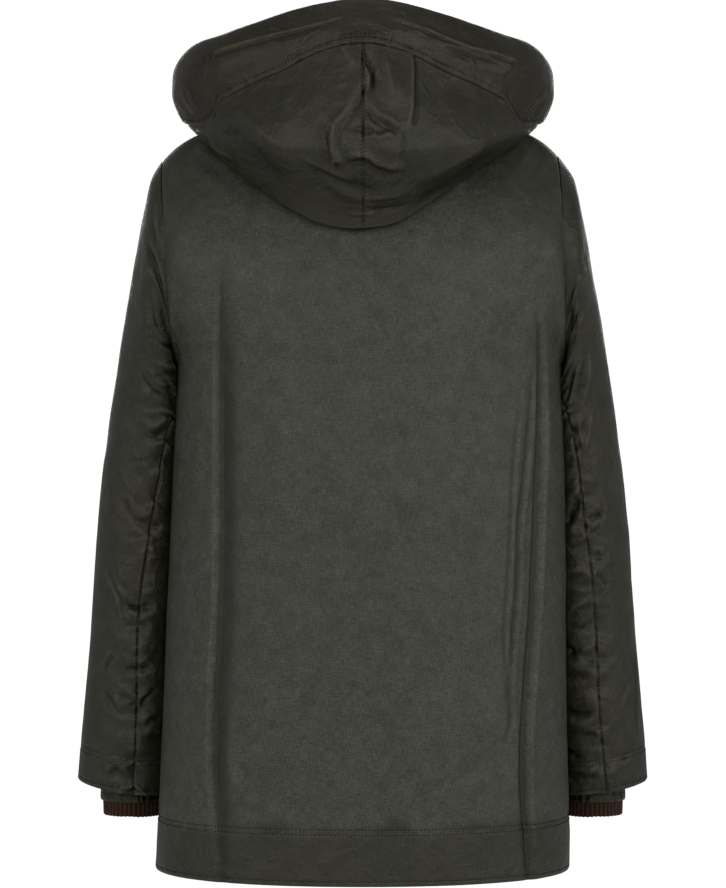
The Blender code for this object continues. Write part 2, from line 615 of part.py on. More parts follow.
def back_at(x, z):
    """The y of the back's smooth skin at places given by x and z."""
    x_grid, z_grid, y_grid = back_map()
    i, k = (np.clip((at - grid[0]) / (grid[1] - grid[0]), 0, len(grid) - 1.001)
            for at, grid in ((x, x_grid), (z, z_grid)))
    i0, k0 = i.astype(int), k.astype(int)
    low = mix(y_grid[i0, k0], y_grid[i0 + 1, k0], i - i0)
    high = mix(y_grid[i0, k0 + 1], y_grid[i0 + 1, k0 + 1], i - i0)
    return mix(low, high, k - k0)


def hood_skin(angles, along):
    """Points of the hood at angles from the centre back, 0 along at the neck and 1 at its edge."""
    places = [0.0] + [HOOD_LINES[name][0] for name in HOOD_LINES]
    lines = [neck_line(angles)] + [hood_line(name, angles) for name in HOOD_LINES]
    row = through(places, np.array(lines), np.array(along))
    near, far = LYING_ANGLES
    lying = ease((along - STAND) / 0.08) * (1 - ease((along - FOLD) / (BELLY - FOLD)))
    lying = lying * ease((far - np.abs(angles)) / (far - near))
    off = mix(HOOD_OFF_BACK, HOOD_OFF_FOLD, ease((along - 0.2) / (FOLD - 0.2)))
    row[:, 1] = mix(row[:, 1], back_at(row[:, 0], row[:, 2]) + off, lying)
    return row


def hood_grid(angles, rows):
    outer, normals = [], []
    for along in rows:
        normal = skin_normals(hood_skin, (angles, -180, 180), (along, 0, 1), -1)
        outer.append(hood_skin(angles, along) + normal * hood_folds(angles, along)[:, None])
        normals.append(normal)
    return np.array(outer), np.array(normals)


def neck_edge(side):
    """The body's neckline from back to front: its points and normals."""
    rows = []
    for face, columns in ((BACK, BACK_COLUMNS), (FRONT, FRONT_COLUMNS)):
        _, normals, skin = body_panel_half(side, face, columns)
        count = len(neck_angles(face, columns))
        rows.append((skin[-1, :count], normals[-1, :count]))
    (back, back_normals), (front, front_normals) = rows
    return (np.concatenate([back, front[-2::-1]]),
            np.concatenate([back_normals, front_normals[-2::-1]]))


def with_middles(values):
    """The values of a row with the mean of each two neighbours set between them."""
    out = np.empty((2 * len(values) - 1,) + values.shape[1:])
    out[0::2], out[1::2] = values, (values[1:] + values[:-1]) / 2
    return out


def hood_angles():
    """Angles of the hood's columns on the left: the neckline's and the ones between them."""
    back, front = neck_angles(BACK, BACK_COLUMNS), neck_angles(FRONT, FRONT_COLUMNS)
    return with_middles(np.concatenate([back, front[-2::-1]]))


def build_hood(material):
    angles = hood_angles()
    made = []
    for side in (LEFT, RIGHT):
        skin, normals = hood_grid(side * angles, HOOD_ROWS)
        neck, neck_cloth = neck_edge(side)
        skin[0], normals[0] = with_middles(neck), with_middles(neck_cloth)
        parted = skin.copy()
        parted[0] += with_middles(HALF_GAP * seam_way(neck, neck_cloth, skin[1, ::2]))
        for edge, inside in ((np.s_[-1], np.s_[-2]), (np.s_[:, 0], np.s_[:, 1])):
            parted[edge] += HALF_GAP * seam_way(skin[edge], normals[edge], skin[inside])
        made.append(cloth_wall(f"hood_{SIDE_WORD[side]}", parted, normals, material))
    skin, normals = hood_grid(np.concatenate([-angles[:0:-1], angles]), BRIM_ROWS)
    parted = skin.copy()
    parted[0] += HALF_GAP * seam_way(skin[0], normals[0], skin[1])
    made.append(cloth_wall("hood_brim", parted, normals, material))
    return made


# ---------------------------------------------------------------- the zip
def front_middle(level):
    """Point and normal of the fronts' surface at the middle of the slot."""
    row, normal = body_half(LEFT, FRONT, np.array([0.0]), level)
    point, out = row[0], normal[0]
    return np.array([0, point[1], point[2]]), unit(np.array([0, out[1], out[2]]))


def build_chain(material):
    first = -1 + (BOX_HEIGHT + SEAM_GAP) / (ARMPIT_Z - HEM_Z)
    levels = [first] + [level for level in body_levels() if level > first]
    rows, normals = [], []
    for level in levels:
        point, out = front_middle(level)
        middle = point + out * CHAIN_PROUD
        rows.append([middle - [CHAIN_HALF_WIDTH, 0, 0], middle + [CHAIN_HALF_WIDTH, 0, 0]])
        normals.append([out, out])
    return cloth_wall("zip_chain", np.array(rows), np.array(normals), material,
                      thickness=CHAIN_THICKNESS)


def solid_box(name, low, high, material=None):
    """A box between two corners, with its origin where its parent's is."""
    bpy.ops.mesh.primitive_cube_add(size=1)
    box = bpy.context.object
    box.name = box.data.name = name
    low, high = np.array(low), np.array(high)
    for vertex in box.data.vertices:
        vertex.co = (low + high) / 2 + np.array(vertex.co) * (high - low)
    if material:
        box.data.materials.append(material)
    return box


def rod_along_x(name, radius, half_length, y, z, sides=16):
    bpy.ops.mesh.primitive_cylinder_add(vertices=sides, radius=radius, depth=2 * half_length)
    rod = bpy.context.object
    rod.name = rod.data.name = name
    for vertex in rod.data.vertices:
        along, out, up = vertex.co.z, vertex.co.x, vertex.co.y
        vertex.co = (along, out + y, up + z)
    if signed_volume(rod.data) < 0:
        rod.data.flip_normals()
    return rod


def signed_volume(mesh):
    probe = bmesh.new()
    probe.from_mesh(mesh)
    volume = probe.calc_volume(signed=True)
    probe.free()
    return volume


def join_with(body, other, operation, helpers):
    """Adds or cuts a helper shape, and puts the helper away."""
    boolean = body.modifiers.new(other.name, "BOOLEAN")
    boolean.operation = operation
    boolean.object = other
    other.hide_render = True
    other.display_type = "WIRE"
    other.parent = body.parent
    for collection in list(other.users_collection):
        collection.objects.unlink(other)
    helpers.objects.link(other)


def soften(thing):
    bevel = thing.modifiers.new("soft_edges", "BEVEL")
    bevel.width = METAL_EDGE
    bevel.segments = 1
    bevel.limit_method = "ANGLE"


def build_box(material):
    point, out = front_middle(-1)
    lean = math.atan2(out[2], -out[1])
    box = solid_box(
        "zip_box",
        (-CHAIN_HALF_WIDTH, -BOX_PROUD, 0),
        (CHAIN_HALF_WIDTH, BOX_THICKNESS - BOX_PROUD, BOX_HEIGHT),
        material,
    )
    box.location = point
    box.rotation_euler = (-lean, 0, 0)
    soften(box)
    return box


def build_slider_and_pull(metal, helpers):
    point, out = front_middle(SLIDER_LEVEL)
    lean = math.atan2(out[2], -out[1])
    bpy.ops.object.empty_add(location=point, rotation=(-lean, 0, 0))
    place = bpy.context.object
    place.name = "slider_place"
    bpy.ops.object.empty_add(location=(0, -BAR_OFF, 0), rotation=(PULL_LEAN, 0, 0))
    hinge = bpy.context.object
    hinge.name = "pull_hinge"
    hinge.parent = place

    plate_face = CHAIN_SEAT + SLIDER_PLATE
    slider = solid_box(
        "zip_slider",
        (-SLIDER_HALF_WIDTH, -plate_face, -SLIDER_HALF_HEIGHT),
        (SLIDER_HALF_WIDTH, -CHAIN_SEAT, SLIDER_HALF_HEIGHT),
        metal,
    )
    slider.parent = place
    soften(slider)
    ear_near = EYE_HALF_WIDTH + EYE_CLEARANCE
    for side in (LEFT, RIGHT):
        low, high = sorted((side * ear_near, side * (ear_near + EAR_WIDTH)))
        ear = solid_box(
            f"ear_{SIDE_WORD[side]}",
            (low, -BAR_OFF - BAR_RADIUS - EAR_WALL, -EAR_HALF_HEIGHT),
            (high, -plate_face + SUNK, EAR_HALF_HEIGHT),
        )
        join_with(slider, ear, "UNION", helpers)
    bar = rod_along_x("bar", BAR_RADIUS, ear_near + EAR_WIDTH / 2, -BAR_OFF, 0)
    join_with(slider, bar, "UNION", helpers)

    pull = solid_box(
        "zip_pull",
        (-PULL_HALF_WIDTH, -PULL_THICKNESS / 2, -PULL_LENGTH),
        (PULL_HALF_WIDTH, PULL_THICKNESS / 2, -EYE_RADIUS - NECK_LENGTH),
        metal,
    )
    pull.parent = hinge
    soften(pull)
    neck = solid_box(
        "pull_neck",
        (-EYE_HALF_WIDTH, -PULL_THICKNESS / 2, -EYE_RADIUS - NECK_LENGTH - 3 * SUNK),
        (EYE_HALF_WIDTH, PULL_THICKNESS / 2, -EYE_RADIUS + SUNK),
    )
    eye = rod_along_x("pull_eye", EYE_RADIUS, EYE_HALF_WIDTH, 0, 0)
    bore = rod_along_x("pull_bore", EYE_BORE, EYE_HALF_WIDTH * 2, 0, 0)
    for part, operation in ((neck, "UNION"), (eye, "UNION"), (bore, "DIFFERENCE")):
        join_with(pull, part, operation, helpers)
    return [place, hinge, slider, pull]


# ---------------------------------------------------------------- walls and materials
def wall_between(name, outer, inner, material, closed_round=False):
    """A closed wall between two grids of points, which a seamless tube joins round."""
    rows, columns = outer.shape[:2]
    mesh = bmesh.new()
    skins = [[[mesh.verts.new(p) for p in row] for row in skin] for skin in (outer, inner)]
    turns = columns if closed_round else columns - 1
    for r in range(rows - 1):
        for c in range(turns):
            n = (c + 1) % columns
            for skin in skins:
                mesh.faces.new((skin[r][c], skin[r][n], skin[r + 1][n], skin[r + 1][c]))
    out, inn = skins
    for r in (0, rows - 1):
        for c in range(turns):
            n = (c + 1) % columns
            mesh.faces.new((out[r][c], inn[r][c], inn[r][n], out[r][n]))
    if not closed_round:
        for c in (0, columns - 1):
            for r in range(rows - 1):
                mesh.faces.new((out[r][c], out[r + 1][c], inn[r + 1][c], inn[r][c]))
    bmesh.ops.recalc_face_normals(mesh, faces=mesh.faces)
    data = bpy.data.meshes.new(name)
    mesh.to_mesh(data)
    mesh.free()
    data.materials.append(material)
    data.shade_smooth()
    data.set_sharp_from_angle(angle=math.radians(50))
    return bpy.data.objects.new(name, data)


def cloth_wall(name, outer, normals, material, thickness=CLOTH):
    return wall_between(name, outer, outer - normals * thickness, material)


def make_material(name, colour, roughness, metallic=0.0):
    material = bpy.data.materials.new(name)
    material.use_nodes = True
    shader = material.node_tree.nodes["Principled BSDF"]
    shader.inputs["Base Color"].default_value = (*colour, 1)
    shader.inputs["Roughness"].default_value = roughness
    shader.inputs["Metallic"].default_value = metallic
    return material


def clear_scene():
    for thing in list(bpy.data.objects):
        bpy.data.objects.remove(thing, do_unlink=True)


def main():
    clear_scene()
    jacket = bpy.data.collections.new(COLLECTION)
    helpers = bpy.data.collections.new("helpers")
    for collection in (jacket, helpers):
        bpy.context.scene.collection.children.link(collection)
    waxed = make_material("waxed_cotton", (0.042, 0.044, 0.034), 0.55)
    knit = make_material("rib_knit", (0.030, 0.014, 0.009), 0.9)
    tape = make_material("zip_chain", (0.030, 0.028, 0.022), 0.5)
    metal = make_material("zip_metal", (0.20, 0.17, 0.12), 0.35, 1.0)

    made = [build_back(waxed), build_front(LEFT, waxed), build_front(RIGHT, waxed)]
    for side in (LEFT, RIGHT):
        made += build_sleeve(side, waxed)
        made.append(build_cuff(side, knit))
    made += build_hood(waxed)
    made += [build_chain(tape), build_box(metal)]
    made += build_slider_and_pull(metal, helpers)
    for thing in made:
        for collection in list(thing.users_collection):
            collection.objects.unlink(thing)
        jacket.objects.link(thing)


main()
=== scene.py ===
"""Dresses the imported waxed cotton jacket.

Each panel is a thin shell of waxed cotton on the form of its solid, with its creases, seams,
puckers and topstitching. The knit cuffs, the zip, the floor, the light and the camera follow.
Metres, +Z up; the garment faces -Y and its left side is +X.
"""

import math
from collections import namedtuple
from functools import lru_cache, partial

import bpy
import numpy as np
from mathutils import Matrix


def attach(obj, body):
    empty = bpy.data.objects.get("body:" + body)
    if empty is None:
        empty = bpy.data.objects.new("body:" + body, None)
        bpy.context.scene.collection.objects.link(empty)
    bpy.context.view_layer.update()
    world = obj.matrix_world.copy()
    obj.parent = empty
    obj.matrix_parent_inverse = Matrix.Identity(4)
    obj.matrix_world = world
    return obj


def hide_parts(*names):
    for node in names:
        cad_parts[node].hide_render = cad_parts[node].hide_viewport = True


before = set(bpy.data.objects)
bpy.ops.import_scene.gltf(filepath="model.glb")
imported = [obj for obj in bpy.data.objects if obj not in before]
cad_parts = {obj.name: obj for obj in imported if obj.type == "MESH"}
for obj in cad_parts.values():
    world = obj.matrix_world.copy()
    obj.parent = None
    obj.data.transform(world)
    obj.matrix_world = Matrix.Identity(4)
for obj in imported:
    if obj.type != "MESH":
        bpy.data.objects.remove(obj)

LEFT, RIGHT = 1, -1  # sides of the wearer, as the sign of X
BACK, FRONT = 1, -1  # halves of the body, as the sign of Y
SIDE_WORD = {LEFT: "left", RIGHT: "right"}
FACE_WORD = {BACK: "back", FRONT: "front"}
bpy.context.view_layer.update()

# ---------------------------------------------------------------- sizes of the garment's form
HEM_Z = -0.771
ARMPIT_Z = -0.260
ARMHOLE_HALF_DEPTH = 0.070
NECK_HALF_WIDTH = 0.075
NECK_DEPTH = {BACK: 0.065, FRONT: 0.090}
NECK_DROP = {BACK: 0.022, FRONT: 0.085}
SHOULDER_TIP = {LEFT: (0.2030, -0.0545), RIGHT: (0.1965, -0.0483)}  # x, z
ARMPIT_X = {LEFT: 0.1900, RIGHT: 0.2030}
SQUARENESS = {BACK: 2.2, FRONT: 2.1}
CHEST_POWER = {BACK: 2.2, FRONT: 2.0}
# How the shoulder slopes, and how the body's section turns into its top edge:
SHOULDER_EDGE, SHOULDER_EDGE_POWER = 0.38, 6
FANNING = 0.6
CENTRE_CURVE, CENTRE_END, CENTRE_BLEND = 0.5, 0.15, 0.60
ARMHOLE_EDGE = 0.2
NECK_SHARE = 0.44  # share of the way round that ends at the neckline
ZIP_SLOT = 0.0031  # half of the slot between the fronts
STEP = 1e-4  # share of a skin's range over which its normals are found

BODY_COLUMNS = ("height", "left", "right", "back", "front")
BODY = (
    (-0.771, 0.2090, 0.2085, 0.155, 0.150),
    (-0.700, 0.2055, 0.2080, 0.153, 0.149),
    (-0.620, 0.2020, 0.2060, 0.150, 0.147),
    (-0.540, 0.1995, 0.2045, 0.147, 0.145),
    (-0.460, 0.1955, 0.2045, 0.144, 0.142),
    (-0.380, 0.1920, 0.2045, 0.141, 0.139),
    (-0.310, 0.1892, 0.2030, 0.137, 0.136),
    (-0.282, 0.1888, 0.2022, 0.135, 0.135),
    (-0.260, 0.1900, 0.2030, 0.134, 0.134),
)

SLEEVE_COLUMNS = ("down", "outer_x", "outer_z", "inner_x", "inner_z", "middle", "half",
                  "left_seam", "right_seam")
SLEEVE = (
    (0.00, 0.2030, -0.0545, 0.1900, -0.2600, 0.000, 0.0700, 160, 160),
    (0.05, 0.2130, -0.0725, 0.1950, -0.2595, -0.001, 0.0710, 158, 157),
    (0.10, 0.2193, -0.1000, 0.1965, -0.2650, -0.004, 0.0725, 155, 152),
    (0.17, 0.2260, -0.1300, 0.1910, -0.2780, -0.012, 0.0740, 151, 144),
    (0.27, 0.2395, -0.2050, 0.1850, -0.3060, -0.025, 0.0725, 134, 126),
    (0.40, 0.2547, -0.2960, 0.1800, -0.3540, -0.034, 0.0690, 116, 101),
    (0.55, 0.2692, -0.4020, 0.1800, -0.4330, -0.040, 0.0650, 103, 91),
    (0.70, 0.2762, -0.5000, 0.1830, -0.5230, -0.046, 0.0610, 93, 84),
    (0.85, 0.2846, -0.5950, 0.1890, -0.6170, -0.051, 0.0575, 98, 87),
    (1.00, 0.2922, -0.6880, 0.1950, -0.7120, -0.056, 0.0545, 101, 85),
)
SLEEVE_CLEAR, SLEEVE_SOFT = 0.0022, 0.0030  # its room beside the body, and how softly it is kept
SLEEVE_HEM_LIFT = 0.011  # how much higher the hem lies on the sleeve's inner side
SLEEVE_LENGTH = 0.64

# Lines round the hood: how far along it each lies, and its angle, radius and z at some places.
HOOD_LINES = {
    "stand": (0.09, ((0, 0.0640, 0.004), (45, 0.0700, 0.012), (90, 0.0800, 0.022),
                     (135, 0.0850, -0.028), (178, 0.0930, -0.073))),
    "under": (0.20, ((0, 0.0960, -0.034), (30, 0.1020, -0.028), (60, 0.1130, -0.012),
                     (90, 0.1220, -0.003), (120, 0.1150, -0.014), (150, 0.1020, -0.048),
                     (178, 0.0960, -0.067))),
    "fold": (0.36, ((-178, 0.1000, -0.062), (-150, 0.1120, -0.046), (-120, 0.1360, -0.022),
                    (-90, 0.1600, -0.0195), (-65, 0.1640, -0.040), (-45, 0.1600, -0.066),
                    (-28, 0.1520, -0.098), (-14, 0.1430, -0.122), (0, 0.1400, -0.1295),
                    (14, 0.1440, -0.126), (28, 0.1520, -0.109), (45, 0.1600, -0.078),
                    (65, 0.1640, -0.044), (90, 0.1600, -0.0195), (120, 0.1360, -0.022),
                    (150, 0.1120, -0.046), (178, 0.1000, -0.062))),
    "belly": (0.50, ((0, 0.1790, -0.055), (25, 0.1780, -0.052), (45, 0.1770, -0.040),
                     (65, 0.1770, -0.026), (90, 0.1775, -0.0145), (120, 0.1480, -0.014),
                     (150, 0.1180, -0.040), (178, 0.1030, -0.056))),
    "seam": (0.64, ((0, 0.1560, 0.048), (15, 0.1550, 0.041), (30, 0.1590, 0.023),
                    (45, 0.1620, 0.0105), (60, 0.1690, -0.003), (72, 0.1760, -0.0110),
                    (90, 0.1875, -0.0045), (120, 0.1580, -0.004), (150, 0.1230, -0.033),
                    (178, 0.1060, -0.050))),
    "bulge": (0.76, ((0, 0.1490, 0.072), (30, 0.1560, 0.054), (60, 0.1770, 0.032),
                     (78, 0.1905, 0.020), (90, 0.1935, 0.016), (120, 0.1650, 0.010),
                     (150, 0.1290, -0.022), (178, 0.1090, -0.042))),
    "top": (0.88, ((0, 0.1330, 0.0945), (15, 0.1350, 0.0905), (30, 0.1420, 0.0825),
                   (45, 0.1490, 0.0735), (60, 0.1590, 0.0655), (75, 0.1745, 0.0590),
                   (90, 0.1870, 0.0440), (120, 0.1620, 0.0250), (150, 0.1310, -0.0080),
                   (178, 0.1110, -0.0320))),
    "edge": (1.00, ((0, 0.1000, 0.070), (30, 0.1080, 0.062), (60, 0.1280, 0.047),
                    (90, 0.1500, 0.030), (120, 0.1420, 0.011), (150, 0.1230, -0.013),
                    (178, 0.1060, -0.030))),
}
HOOD_OFF_BACK, HOOD_OFF_FOLD = 0.006, 0.012  # how far it lies off the back, near neck and fold
LYING_ANGLES = (50, 85)  # between which it stops lying on the back
STAND, FOLD, BELLY, BRIM_SEAM = (HOOD_LINES[line][0] for line in ("stand", "fold", "belly", "seam"))
SEAM_TURNS = (57, 66)  # angles between which the brim's seam turns down, to SEAM_LOW
SEAM_LOW = 0.495
HOOD_DEGREE = 0.0028  # metres of cloth for each degree round the hood
HOOD_LENGTH = 0.50  # metres of cloth from the neck seam to the free edge
SLEEVE_DEGREE = 0.0011  # metres of cloth for each degree round a sleeve

# ---------------------------------------------------------------- sizes of the finish
COTTON = 0.0012  # thickness of the cloth shells
BACK_GRID, FRONT_GRID, SLEEVE_GRID, HOOD_GRID = 0.0029, 0.0038, 0.0022, 0.0032  # of points
FINE_GRID, COARSE_GRID = 0.0007, 0.0048
SPAN_REACH = 0.01  # how far past a finer span its finer grid fades out
TURNED_IN = 0.0006  # how far cloth rises beside a seam, where its edge is turned in
HEM_RISE, HEM_STEP = 0.0005, 0.0012  # the double cloth of a hem, and how softly it ends
STITCH_PITCH, STITCH_LENGTH, THREAD = 0.0038, 0.0026, 0.00050
RIBS, RIB_HEIGHT = 42, 0.0009

# How heavily the cloth is waxed and darkened with painted shade, from 0 to 1: at the body's hem,
# and on its fronts and shoulders besides, then on the other pieces.
HEM_WAX_SHADE, FRONT_WAX_SHADE, SHOULDER_WAX_SHADE = 0.68, 0.22, 0.54
SLEEVE_WAX_SHADE, HOOD_WAX_SHADE, BRIM_WAX_SHADE = 0.78, 0.84, 1.0

# Camera and light.
CAMERA_PLACE = (0.0, 3.2, -0.341)
CAMERA_LENS = 127.2
FLOOR_Z, FLOOR_SIZE = -1.45, 7.0


# ---------------------------------------------------------------- curves and small sums
def between(low, high, low_slope, high_slope, step, f):
    """A smooth curve from low to high with its slopes at both ends, read at a share f of a step."""
    return (
        low * (1 + 2 * f) * (1 - f) ** 2
        + low_slope * step * f * (1 - f) ** 2
        + high * f**2 * (3 - 2 * f)
        + high_slope * step * f**2 * (f - 1)
    )


def through(places, values, at):
    """A smooth curve through the values at the places, read where asked."""
    places, values = np.asarray(places, float), np.asarray(values, float)
    slopes = np.gradient(values, places, axis=0)
    at = np.clip(np.asarray(at, float), places[0], places[-1])
    i = np.clip(np.searchsorted(places, at, side="right") - 1, 0, len(places) - 2)
    shape = at.shape + (1,) * (values.ndim - 1)
    step = (places[i + 1] - places[i]).reshape(shape)
    f = (at - places[i]).reshape(shape) / step
    return between(values[i], values[i + 1], slopes[i], slopes[i + 1], step, f)


def through_each(places, values, at):
    """As through, for each column of the values at its own place."""
    slopes = np.gradient(values, places, axis=0)
    i = np.clip(np.searchsorted(places, at, side="right") - 1, 0, len(places) - 2)
    step = np.diff(places)[i][:, None]
    f = (at - places[i])[:, None] / step
    low, high = (i, np.arange(len(at))), (i + 1, np.arange(len(at)))
    return between(values[low], values[high], slopes[low], slopes[high], step, f)


def from_table(table, columns, name, at):
    """A column of a table as a smooth curve of the table's first column."""
    places, values = [row[0] for row in table], [row[columns.index(name)] for row in table]
    order = np.argsort(places)
    return through(np.array(places)[order], np.array(values, float)[order], at)


def ease(share):
    share = np.clip(share, 0, 1)
    return share * share * (3 - 2 * share)


def mix(first, second, share):
    return first + (second - first) * share


def unit(vectors):
    return vectors / np.maximum(np.linalg.norm(vectors, axis=-1, keepdims=True), 1e-12)


def points(x, y, z):
    return np.stack(np.broadcast_arrays(*(np.asarray(c, float) for c in (x, y, z))), axis=-1)


def bump(distance, width):
    return np.exp(-((distance / width) ** 2))


def skin_normals(skin, along, down, facing):
    """Unit normals of skin(along, down), found by small steps kept inside both ranges."""
    (along, along_low, along_high), (down, down_low, down_high) = along, down
    step = STEP * (along_high - along_low)
    across_it = skin(np.minimum(along + step, along_high), down)
    across_it = across_it - skin(np.maximum(along - step, along_low), down)
    step = STEP * (down_high - down_low)
    down_it = skin(along, np.minimum(down + step, down_high))
    down_it = down_it - skin(along, np.maximum(down - step, down_low))
    return unit(np.cross(across_it, down_it)) * facing


def graded(start, end, scale, lines, spans=(), step=BACK_GRID, fine=FINE_GRID, reach=0.003):
    """Places from start to end, closer together near some lines and inside some spans.

    There are 4 n + 1 of them. scale is the length of cloth for each unit of place, and a span
    is its low end, its high end and its spacing.
    """
    step = step
    at = np.linspace(start, end, 4000)
    density = np.full(at.shape, 1 / step)
    for low, high, spacing in spans:
        off = np.maximum(np.maximum(low - at, at - high), 0) * scale
        inside = mix(1 / step, max(1 / spacing, 1 / step), np.exp(-off / SPAN_REACH))
        density = np.maximum(density, inside)
    for line in lines:
        near = np.exp(-np.abs(at - line) * scale / reach)
        density = np.maximum(density, mix(1 / step, 1 / fine, near))
    each = (density[1:] + density[:-1]) / 2 * np.diff(at) * scale
    total = np.concatenate([[0], np.cumsum(each)])
    count = 4 * max(2, math.ceil(total[-1] / 4)) + 1
    return np.interp(np.linspace(0, total[-1], count), total, at)


@lru_cache
def lattice(seed):
    return np.random.default_rng(seed).uniform(-1, 1, (32, 32, 32))


def soft_noise(place, size, seed):
    """Smooth noise from -1 to 1 through space, with lumps of about the size given."""
    table = lattice(seed)
    cell = np.floor(place / size).astype(int)
    f = ease(place / size - cell)
    total = np.zeros(place.shape[:-1])
    for corner in range(8):
        step = np.array([corner >> k & 1 for k in range(3)])
        index = np.moveaxis((cell + step) % 32, -1, 0)
        weight = np.prod(np.where(step, f, 1 - f), axis=-1)
        total += weight * table[tuple(index)]
    return total


def blurred(values, reach):
    """A grid's values, each replaced by the mean of those up to reach rows and columns away."""
    for axis in (0, 1):
        width = [(reach + 1, reach) if k == axis else (0, 0) for k in (0, 1)]
        total = np.cumsum(np.pad(values, width, mode="edge"), axis=axis)
        size = values.shape[axis]
        high = np.take(total, np.arange(2 * reach + 1, size + 2 * reach + 1), axis=axis)
        low = np.take(total, np.arange(size), axis=axis)
        values = (high - low) / (2 * reach + 1)
    return values


# ---------------------------------------------------------------- the form of the body
def quarter_section(width, depth, power, start, across):
    first = math.asin((start / width) ** (power / 2))
    turn = np.linspace(first, math.pi / 2, 400)
    x = width * np.sin(turn) ** (2 / power)
    y = depth * np.abs(np.cos(turn)) ** (2 / power)
    length = np.concatenate([[0], np.cumsum(np.hypot(np.diff(x), np.diff(y)))])
    x = np.interp(across, length / length[-1], x)
    return (x - start) / (width - start), np.maximum(0, 1 - (x / width) ** power) ** (1 / power)


def slot_half(face):
    return ZIP_SLOT if face == FRONT else 0.0


def top_edge(side, face, across):
    """The neckline, and from NECK_SHARE on the shoulder seam, for the left side."""
    tip_x, tip_z = SHOULDER_TIP[side]
    neck = np.clip(across / NECK_SHARE, 0, 1)
    turn = mix(math.asin(slot_half(face) / NECK_HALF_WIDTH), math.pi / 2, neck)
    out = np.clip((across - NECK_SHARE) / (1 - NECK_SHARE), 0, 1)
    on_neck = across < NECK_SHARE
    x = np.where(on_neck, NECK_HALF_WIDTH * np.sin(turn), mix(NECK_HALF_WIDTH, tip_x, out))
    y = np.where(on_neck, NECK_DEPTH[face] * np.cos(turn), 0)
    slope = tip_z * mix(out, out**SHOULDER_EDGE_POWER, SHOULDER_EDGE)
    return x, y, np.where(on_neck, -NECK_DROP[face] * np.cos(turn) ** 2, slope)


def smooth_body(side, face, across, level):
    """The body's form. Levels run from -1 at the hem over 0 at the armpit to 1."""
    height = ARMPIT_Z + min(level, 0) * (ARMPIT_Z - HEM_Z)
    start = slot_half(face)
    width = float(from_table(BODY, BODY_COLUMNS, SIDE_WORD[side], height))
    depth = float(from_table(BODY, BODY_COLUMNS, FACE_WORD[face], height))
    share, bow = quarter_section(width, depth, SQUARENESS[face], start, across)
    if level <= 0:
        return points(side * mix(start, width, share), face * depth * bow, height)
    top_x, top_y, top_z = top_edge(side, face, across)
    tip_x = SHOULDER_TIP[side][0]
    share = mix(share, (top_x - start) / (tip_x - start), 1 - (1 - level**2) ** FANNING)
    x = mix(start, mix(width, tip_x, level), share)
    rounding = mix(1.0, CENTRE_CURVE, ease((across - CENTRE_END) / CENTRE_BLEND))
    leaning = (1 - level ** CHEST_POWER[face]) ** rounding
    round_hole = 2 * math.sqrt(level * (1 - level))
    opening = mix(round_hole**3, round_hole, ease((across - 1 + ARMHOLE_EDGE) / ARMHOLE_EDGE))
    y = top_y + (depth * bow - top_y) * leaning + ARMHOLE_HALF_DEPTH * opening * (1 - bow)
    return points(side * x, face * y, mix(ARMPIT_Z, top_z, level))


def body_side_x(side, y, z):
    """How far the body reaches to the side: its section's side, and the armhole's plane above."""
    section = np.zeros(np.shape(y))
    wide = from_table(BODY, BODY_COLUMNS, SIDE_WORD[side], z)
    for face in (BACK, FRONT):
        deep = from_table(BODY, BODY_COLUMNS, FACE_WORD[face], z)
        off = np.clip(np.abs(y) / deep, 0, 1) ** SQUARENESS[face]
        section = np.where(y * face >= 0, wide * (1 - off) ** (1 / SQUARENESS[face]), section)
    tip_x, tip_z = SHOULDER_TIP[side]
    plane = mix(ARMPIT_X[side], tip_x, np.maximum(0, (z - ARMPIT_Z) / (tip_z - ARMPIT_Z)))
    return mix(section, plane, ease((z - ARMPIT_Z + 0.015) / 0.02))


# ---------------------------------------------------------------- the form of sleeves and hood
def sleeve_skin(side, turn, down):
    """Points of the sleeve at turns in degrees, 0 on its outer edge and 90 at the back."""
    column = {name: from_table(SLEEVE, SLEEVE_COLUMNS, name, down) for name in SLEEVE_COLUMNS[1:7]}
    tip_x, tip_z = SHOULDER_TIP[side]
    near_tip = 1 - ease(down / 0.05)
    near_pit = 1 - ease(down / 0.55)
    outer_x = column["outer_x"] + (tip_x - SLEEVE[0][1]) * near_tip
    outer_z = column["outer_z"] + (tip_z - SLEEVE[0][2]) * near_tip
    inner_x = column["inner_x"] + (ARMPIT_X[side] - SLEEVE[0][3]) * near_pit
    angle = np.radians(turn)
    up = np.cos(angle)
    x = mix(inner_x, outer_x, (1 + up) / 2)
    y = column["middle"] + column["half"] * np.sin(angle)
    z = mix(column["inner_z"], outer_z, (1 + up) / 2)
    z = z + SLEEVE_HEM_LIFT * ((1 - up) / 2) ** 2 * ease((down - 0.75) / 0.25)
    clear = body_side_x(side, y, z) + SLEEVE_CLEAR
    pushed = (x + clear + np.sqrt((x - clear) ** 2 + SLEEVE_SOFT**2)) / 2
    return points(side * mix(x, pushed, ease(down / 0.05)), y, z)


def seam_turn(side, down):
    return float(from_table(SLEEVE, SLEEVE_COLUMNS, f"{SIDE_WORD[side]}_seam", down))


def hood_line(name, angles):
    rows = HOOD_LINES[name][1]
    if rows[0][0] == 0:
        rows = [(-a, r, z) for a, r, z in rows[:0:-1]] + list(rows)
    at, radius, height = (np.array([row[k] for row in rows], float) for k in range(3))
    radius, height = through(at, radius, angles), through(at, height, angles)
    angles = np.radians(angles)
    return points(radius * np.sin(angles), radius * np.cos(angles), height)


def neck_line(angles):
    turn = np.radians(angles)
    behind = np.cos(turn) >= 0
    depth = np.where(behind, NECK_DEPTH[BACK], NECK_DEPTH[FRONT])
    drop = np.where(behind, NECK_DROP[BACK], NECK_DROP[FRONT])
    return points(NECK_HALF_WIDTH * np.sin(turn), depth * np.cos(turn), -drop * np.cos(turn) ** 2)


